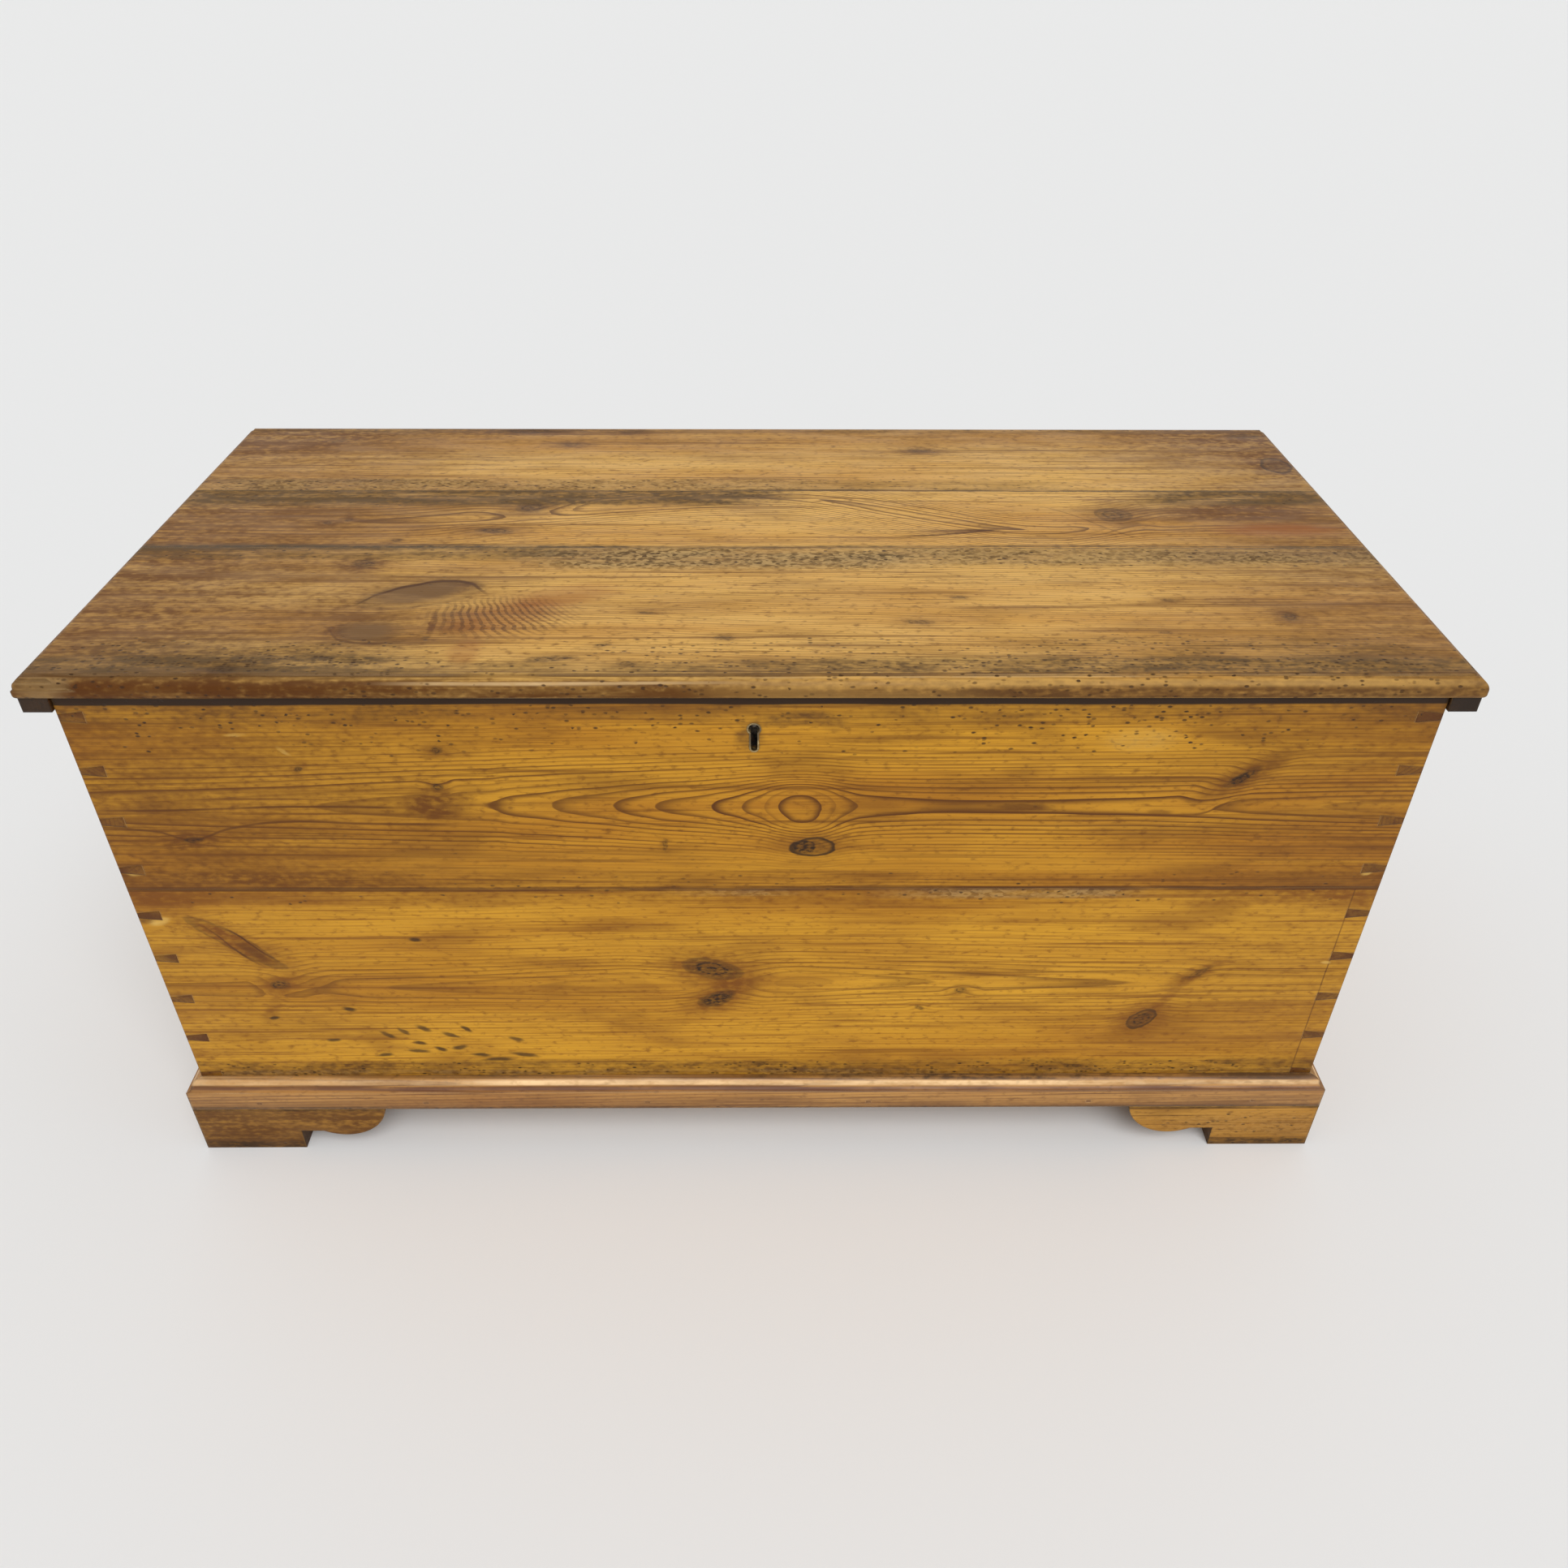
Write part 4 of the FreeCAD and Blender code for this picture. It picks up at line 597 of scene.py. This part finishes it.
front_bands = [
    (-0.0365, 0.0022, *whole, 0.9, 0.0, "pitch"), (-0.0390, 0.0060, -0.6, -0.12, 0.8, 0.0, "pitch"),
    (-0.048, 0.018, -0.60, -0.14, 0.75, 0.08, "grime"), (-0.054, 0.026, -0.20, 0.60, 0.50, 0.06, "grime"),
    (-0.058, 0.030, -0.18, 0.14, 0.80, 0.06, "speckle"), (-0.054, 0.024, 0.12, 0.60, 0.50, 0.08, "speckle"),
    (-0.242, 0.020, -0.6, -0.26, 0.95, 0.16, "grime"), (-0.246, 0.014, -0.26, -0.04, 0.62, 0.06, "grime"),
    # On the thumb moulding, the light band at -0.2610 and the pale bands at -0.2604, -0.2600 and -0.2566 are
    # painted highlight lines along its round.
    (-0.244, 0.018, -0.04, 0.6, 0.90, 0.16, "grime"), (-0.2610, 0.0030, -0.02, 0.54, 0.40, 0.0, "light"),
    (-0.2604, 0.0013, -0.25, -0.12, 0.85, 0.0, "pale"), (-0.2600, 0.0011, -0.12, -0.03, 0.55, 0.0, "pale"),
    (-0.2566, 0.0012, -0.02, 0.30, 0.45, 0.0, "pale"), (-0.226, 0.032, -0.52, -0.27, 0.55, 0.14, "grime"),
    (-0.222, 0.036, 0.20, 0.52, 0.45, 0.14, "grime"), (-0.222, 0.032, -0.10, 0.20, 0.0, 0.10, "grime"),
    (-0.2640, 0.0090, *whole, 0.0, 0.10, "grime"), (-0.2650, 0.0080, 0.02, 0.6, 0.35, 0.0, "grime"),
    (-0.2542, 0.0016, *whole, 0.9, 0.0, "line"),
]
front_ripples = [(-0.206, -0.166, 0.076, 0.044, 0.0068, 0.02, -1.05, 0.75)]
front_path = [(-0.56, -0.36, 0.045), (-0.28, -0.34, 0.035), (0.0, -0.35, 0.040), (0.56, -0.37, 0.050)]
finish_with(pine("lid_front_pine", path=front_path, ring=0.0036, seed=17.0, contrast=1.0, pits=0.03,
                 knots=front_knots, stains=front_stains, bands=front_bands, threads=front_threads,
                 ripples=front_ripples, fades=[lid_left_painted_shade, *lid_shade_and_grime_fades], **lid_look,
                 **polished("lid_front_board", Z, 1)), "lid_front_board")
middle_knots = [
    (-0.214, 0.051, 0.018, 0.012, 10, 2.0, 0.9, 0.0, 0.6),
    (-0.240, -0.001, 0.020, 0.007, -4, 1.5, 0.9, 0.0, 0.5),
    (0.335, 0.035, 0.017, 0.015, 0, 2.5, 0.80, 0.4, 0.5),
    (-0.323, -0.022, 0.006, 0.005, 0, 0.0, 0.8, 0.0, 0.3),
    (-0.396, 0.017, 0.006, 0.004, 0, 0.0, 0.7, 0.0, 0.3),
    (-0.379, 0.024, 0.005, 0.004, 0, 0.0, 0.7, 0.0, 0.3),
]
middle_stains = [
    (0.480, 0.002, 0.080, 0.020, 0, 0.8, "red"), (0.440, 0.040, 0.110, 0.030, 0, 0.65, "deep"),
    (0.190, -0.002, 0.040, 0.006, 3, 0.5, "deep"),
]
middle_bands = [
    (0.078, 0.030, -0.56, 0.02, 1.4, 0.06, "grime"), (0.078, 0.026, 0.38, 0.56, 1.4, 0.06, "grime"),
    (0.0915, 0.0022, *whole, 0.9, 0.0, "pitch"), (-0.0345, 0.0030, *whole, 0.8, 0.0, "pitch"),
    (-0.0330, 0.0060, -0.6, -0.14, 0.7, 0.0, "pitch"),
]
middle_threads = [
    (0.0022, 0.9, [(0.150, 0.000), (0.185, 0.001), (0.222, 0.002)]),
    (0.0022, 0.9, [(0.130, -0.011), (0.165, -0.009), (0.190, -0.004), (0.222, 0.002)]),
    (0.0020, 0.6, [(0.060, 0.080), (0.130, 0.064), (0.190, 0.038), (0.230, 0.022)]),
    (0.0020, 0.5, [(0.270, 0.055), (0.310, 0.020), (0.350, -0.018)]),
]
middle_path = [(-0.56, 0.020, 0.030), (-0.30, 0.025, 0.026), (0.0, 0.075, 0.016), (0.12, 0.045, 0.010),
               (0.25, 0.0, 0.012), (0.36, 0.02, 0.018), (0.56, 0.02, 0.024)]
finish_with(pine("lid_middle_pine", path=middle_path, ring=0.0040, seed=18.0, contrast=0.8,
                 knots=middle_knots, stains=middle_stains, bands=middle_bands, threads=middle_threads,
                 fades=[lid_left_painted_shade, *lid_shade_and_grime_fades], **lid_look, **polished("lid_middle_board", Z, 1)),
            "lid_middle_board")
rear_knots = [
    (0.528, 0.158, 0.014, 0.020, 0, 2.0, 0.6, 0.8, 0.4),
    (-0.246, 0.254, 0.040, 0.008, 0, 1.5, 0.8, 0.0, 0.5),
    (0.169, 0.198, 0.014, 0.007, 0, 1.5, 0.7, 0.0, 0.5),
    (0.521, 0.241, 0.024, 0.008, 0, 1.0, 0.8, 0.0, 0.4),
    (-0.443, 0.225, 0.012, 0.005, 30, 0.5, 0.5, 0.0, 0.4),
    (-0.198, 0.214, 0.014, 0.006, 0, 1.0, 0.5, 0.0, 0.5),
    (-0.139, 0.251, 0.014, 0.006, 0, 0.5, 0.5, 0.0, 0.4),
]
rear_bands = [
    (0.106, 0.020, -0.55, 0.30, 0.45, 0.08, "grime"), (0.108, 0.020, -0.55, 0.05, 0.40, 0.08, "speckle"),
    (0.0925, 0.0024, *whole, 0.9, 0.0, "pitch"), (0.258, 0.012, *whole, 0.5, 0.04, "grime"),
]
rear_path = [(-0.56, 0.34, 0.045), (-0.15, 0.32, 0.030), (0.25, 0.33, 0.036), (0.56, 0.30, 0.022)]
finish_with(pine("lid_rear_pine", path=rear_path, ring=0.0040, seed=19.0, contrast=0.9, pits=0.025,
                 knots=rear_knots, bands=rear_bands, fades=[lid_rear_left_painted_shade, *lid_shade_and_grime_fades], **lid_look,
                 **polished("lid_rear_board", Z, 1)), "lid_rear_board")
# The battens are painted far darker than the lid, as shade under its ends.
shaded_batten_tone = {**lid_tone, "light": (104, 70, 34), "amber": (84, 54, 24), "deep": (50, 32, 14),
               "ends": (34, 22, 12)}
batten_pine = pine("batten_pine", (Y, X, Z), face=outer_face("lid_left_batten", Z, -1),
                   path=[(-0.3, 0.5, 0.03), (0.3, 0.5, 0.04)], ring=0.003, tone=shaded_batten_tone, seed=20.0)
finish_with(batten_pine, "lid_left_batten", "lid_right_batten")


# Ironwork: forged strap hinges screwed outside the back and under the lid, a chest lock let into the front,
# and hand-driven cut nails. Black scale with brown rust where hands and damp have worn it.
def ironwork(name, dark, worn, rust, rough, metallic=0.9):
    """Old metal: a dark skin, worn spots by a fine noise, and dull rust blooms by a coarse one."""
    material = bpy.data.materials.new(name)
    material.use_nodes = True
    tree = material.node_tree
    start = Paint(tree)
    place = start.node("TexCoord", {}, {}, "Object")
    fine = place.noise((420.0, 420.0, 420.0), 4.0)
    bloom = place.noise((60.0, 60.0, 60.0), 5.0).smooth(0.50, 0.68)
    skin = fine.smooth(0.42, 0.72).mix(srgb(*dark), srgb(*worn))
    skin = bloom.mix(skin, srgb(*rust))
    relief = 0.0004
    bump = start.node("Bump", {}, {"Height": fine + bloom * 0.5, "Strength": 0.4, "Distance": relief})
    shader = tree.nodes["Principled BSDF"]
    for key, value in (("Base Color", skin), ("Roughness", bloom * 0.3 + fine * 0.2 + rough),
                       ("Metallic", (1.0 - bloom) * metallic), ("Normal", bump)):
        tree.links.new(value.socket, shader.inputs[key])
    return material


hinge_iron = ironwork("hinge_iron", dark=(52, 47, 44), worn=(84, 76, 70), rust=(92, 58, 38), rough=0.4)
lock_iron = ironwork("lock_iron", dark=(84, 78, 72), worn=(122, 114, 104), rust=(98, 66, 44), rough=0.35)
screw_steel = ironwork("screw_steel", dark=(96, 90, 84), worn=(140, 132, 122), rust=(92, 62, 42), rough=0.3)
nail_iron = ironwork("nail_iron", dark=(50, 40, 34), worn=(74, 60, 50), rust=(86, 52, 34), rough=0.5)
stopped_nail = ironwork("stopped_nail", dark=(118, 78, 36), worn=(136, 92, 44), rust=(92, 58, 24), rough=0.45,
                        metallic=0.0)
liner_brass = ironwork("liner_brass", dark=(150, 128, 88), worn=(206, 184, 136), rust=(96, 78, 50),
                       rough=0.25)
for end in ("left", "right"):
    finish_with(hinge_iron, f"{end}_hinge_plate", f"{end}_hinge_strap", f"{end}_hinge_pin")
finish_with(lock_iron, "lock_plate", "lock_case", "lock_bolt", "lock_spring", "lock_drill_pin",
            "striker_plate")
finish_with(screw_steel, "lock_screws", "striker_screws", "hinge_plate_screws", "hinge_strap_screws",
            "batten_screws")
finish_with(nail_iron, "floor_nails")
finish_with(stopped_nail, "skirt_nails")
finish_with(liner_brass, "keyhole_liner")

# Studio: a plain pale floor under an even white sky, a broad soft key light and the photo's viewpoint.
# The sky shows as bright as the floor, so that the two run together, and lights the chest less than that.
floor_edges = np.array([-80.0, 80.0])
ground_x, ground_y = np.meshgrid(floor_edges, floor_edges)
corners = np.stack([ground_x, ground_y, np.zeros_like(ground_x)], -1).reshape(-1, 3)
ground = bpy.data.meshes.new("floor")
ground.from_pydata(corners.tolist(), [], [(0, 1, 3, 2)])
studio_floor = bpy.data.objects.new("studio_floor", ground)
bpy.context.collection.objects.link(studio_floor)
pale = bpy.data.materials.new("pale_floor")
pale.use_nodes = True
pale.node_tree.nodes["Principled BSDF"].inputs["Base Color"].default_value = (0.86, 0.87, 0.88, 1.0)
pale.node_tree.nodes["Principled BSDF"].inputs["Roughness"].default_value = 0.7
ground.materials.append(pale)

sky = bpy.data.worlds.new("even_sky")
sky.use_nodes = True
background = sky.node_tree.nodes["Background"]
background.inputs["Color"].default_value = (1.0, 0.99, 0.97, 1.0)
light_strength, seen_strength = 0.55, 0.84
seen, mirrored, clear = [Paint(sky.node_tree).node("LightPath", {}, {}, f"Is {kind} Ray")
                         for kind in ("Camera", "Glossy", "Transmission")]
seen = seen.math("MAXIMUM", seen + mirrored, clear)
strength = seen * (seen_strength - light_strength) + light_strength
sky.node_tree.links.new(strength.socket, background.inputs["Strength"])
bpy.context.scene.world = sky

key = bpy.data.lights.new("key", "SUN")
key.energy = 1.6
key.angle = math.radians(40)
key_lamp = bpy.data.objects.new("key", key)
key_lamp.rotation_euler = (math.radians(38), math.radians(14), 0.0)
bpy.context.collection.objects.link(key_lamp)

view = bpy.data.cameras.new("photo_view")
view.sensor_width = 36.0
view.lens = 28.577
eye = (0.01459, -1.05821, 1.01159)
pitch, yaw, roll = math.radians(35.887), math.radians(0.628), math.radians(0.307)
camera = bpy.data.objects.new("photo_view", view)
camera.matrix_world = (Matrix.Translation(eye) @ Matrix.Rotation(-yaw, 4, "Z")
                       @ Matrix.Rotation(math.pi / 2 - pitch, 4, "X") @ Matrix.Rotation(roll, 4, "Z"))
bpy.context.collection.objects.link(camera)
bpy.context.scene.camera = camera
bpy.context.scene.view_settings.view_transform = "Standard"
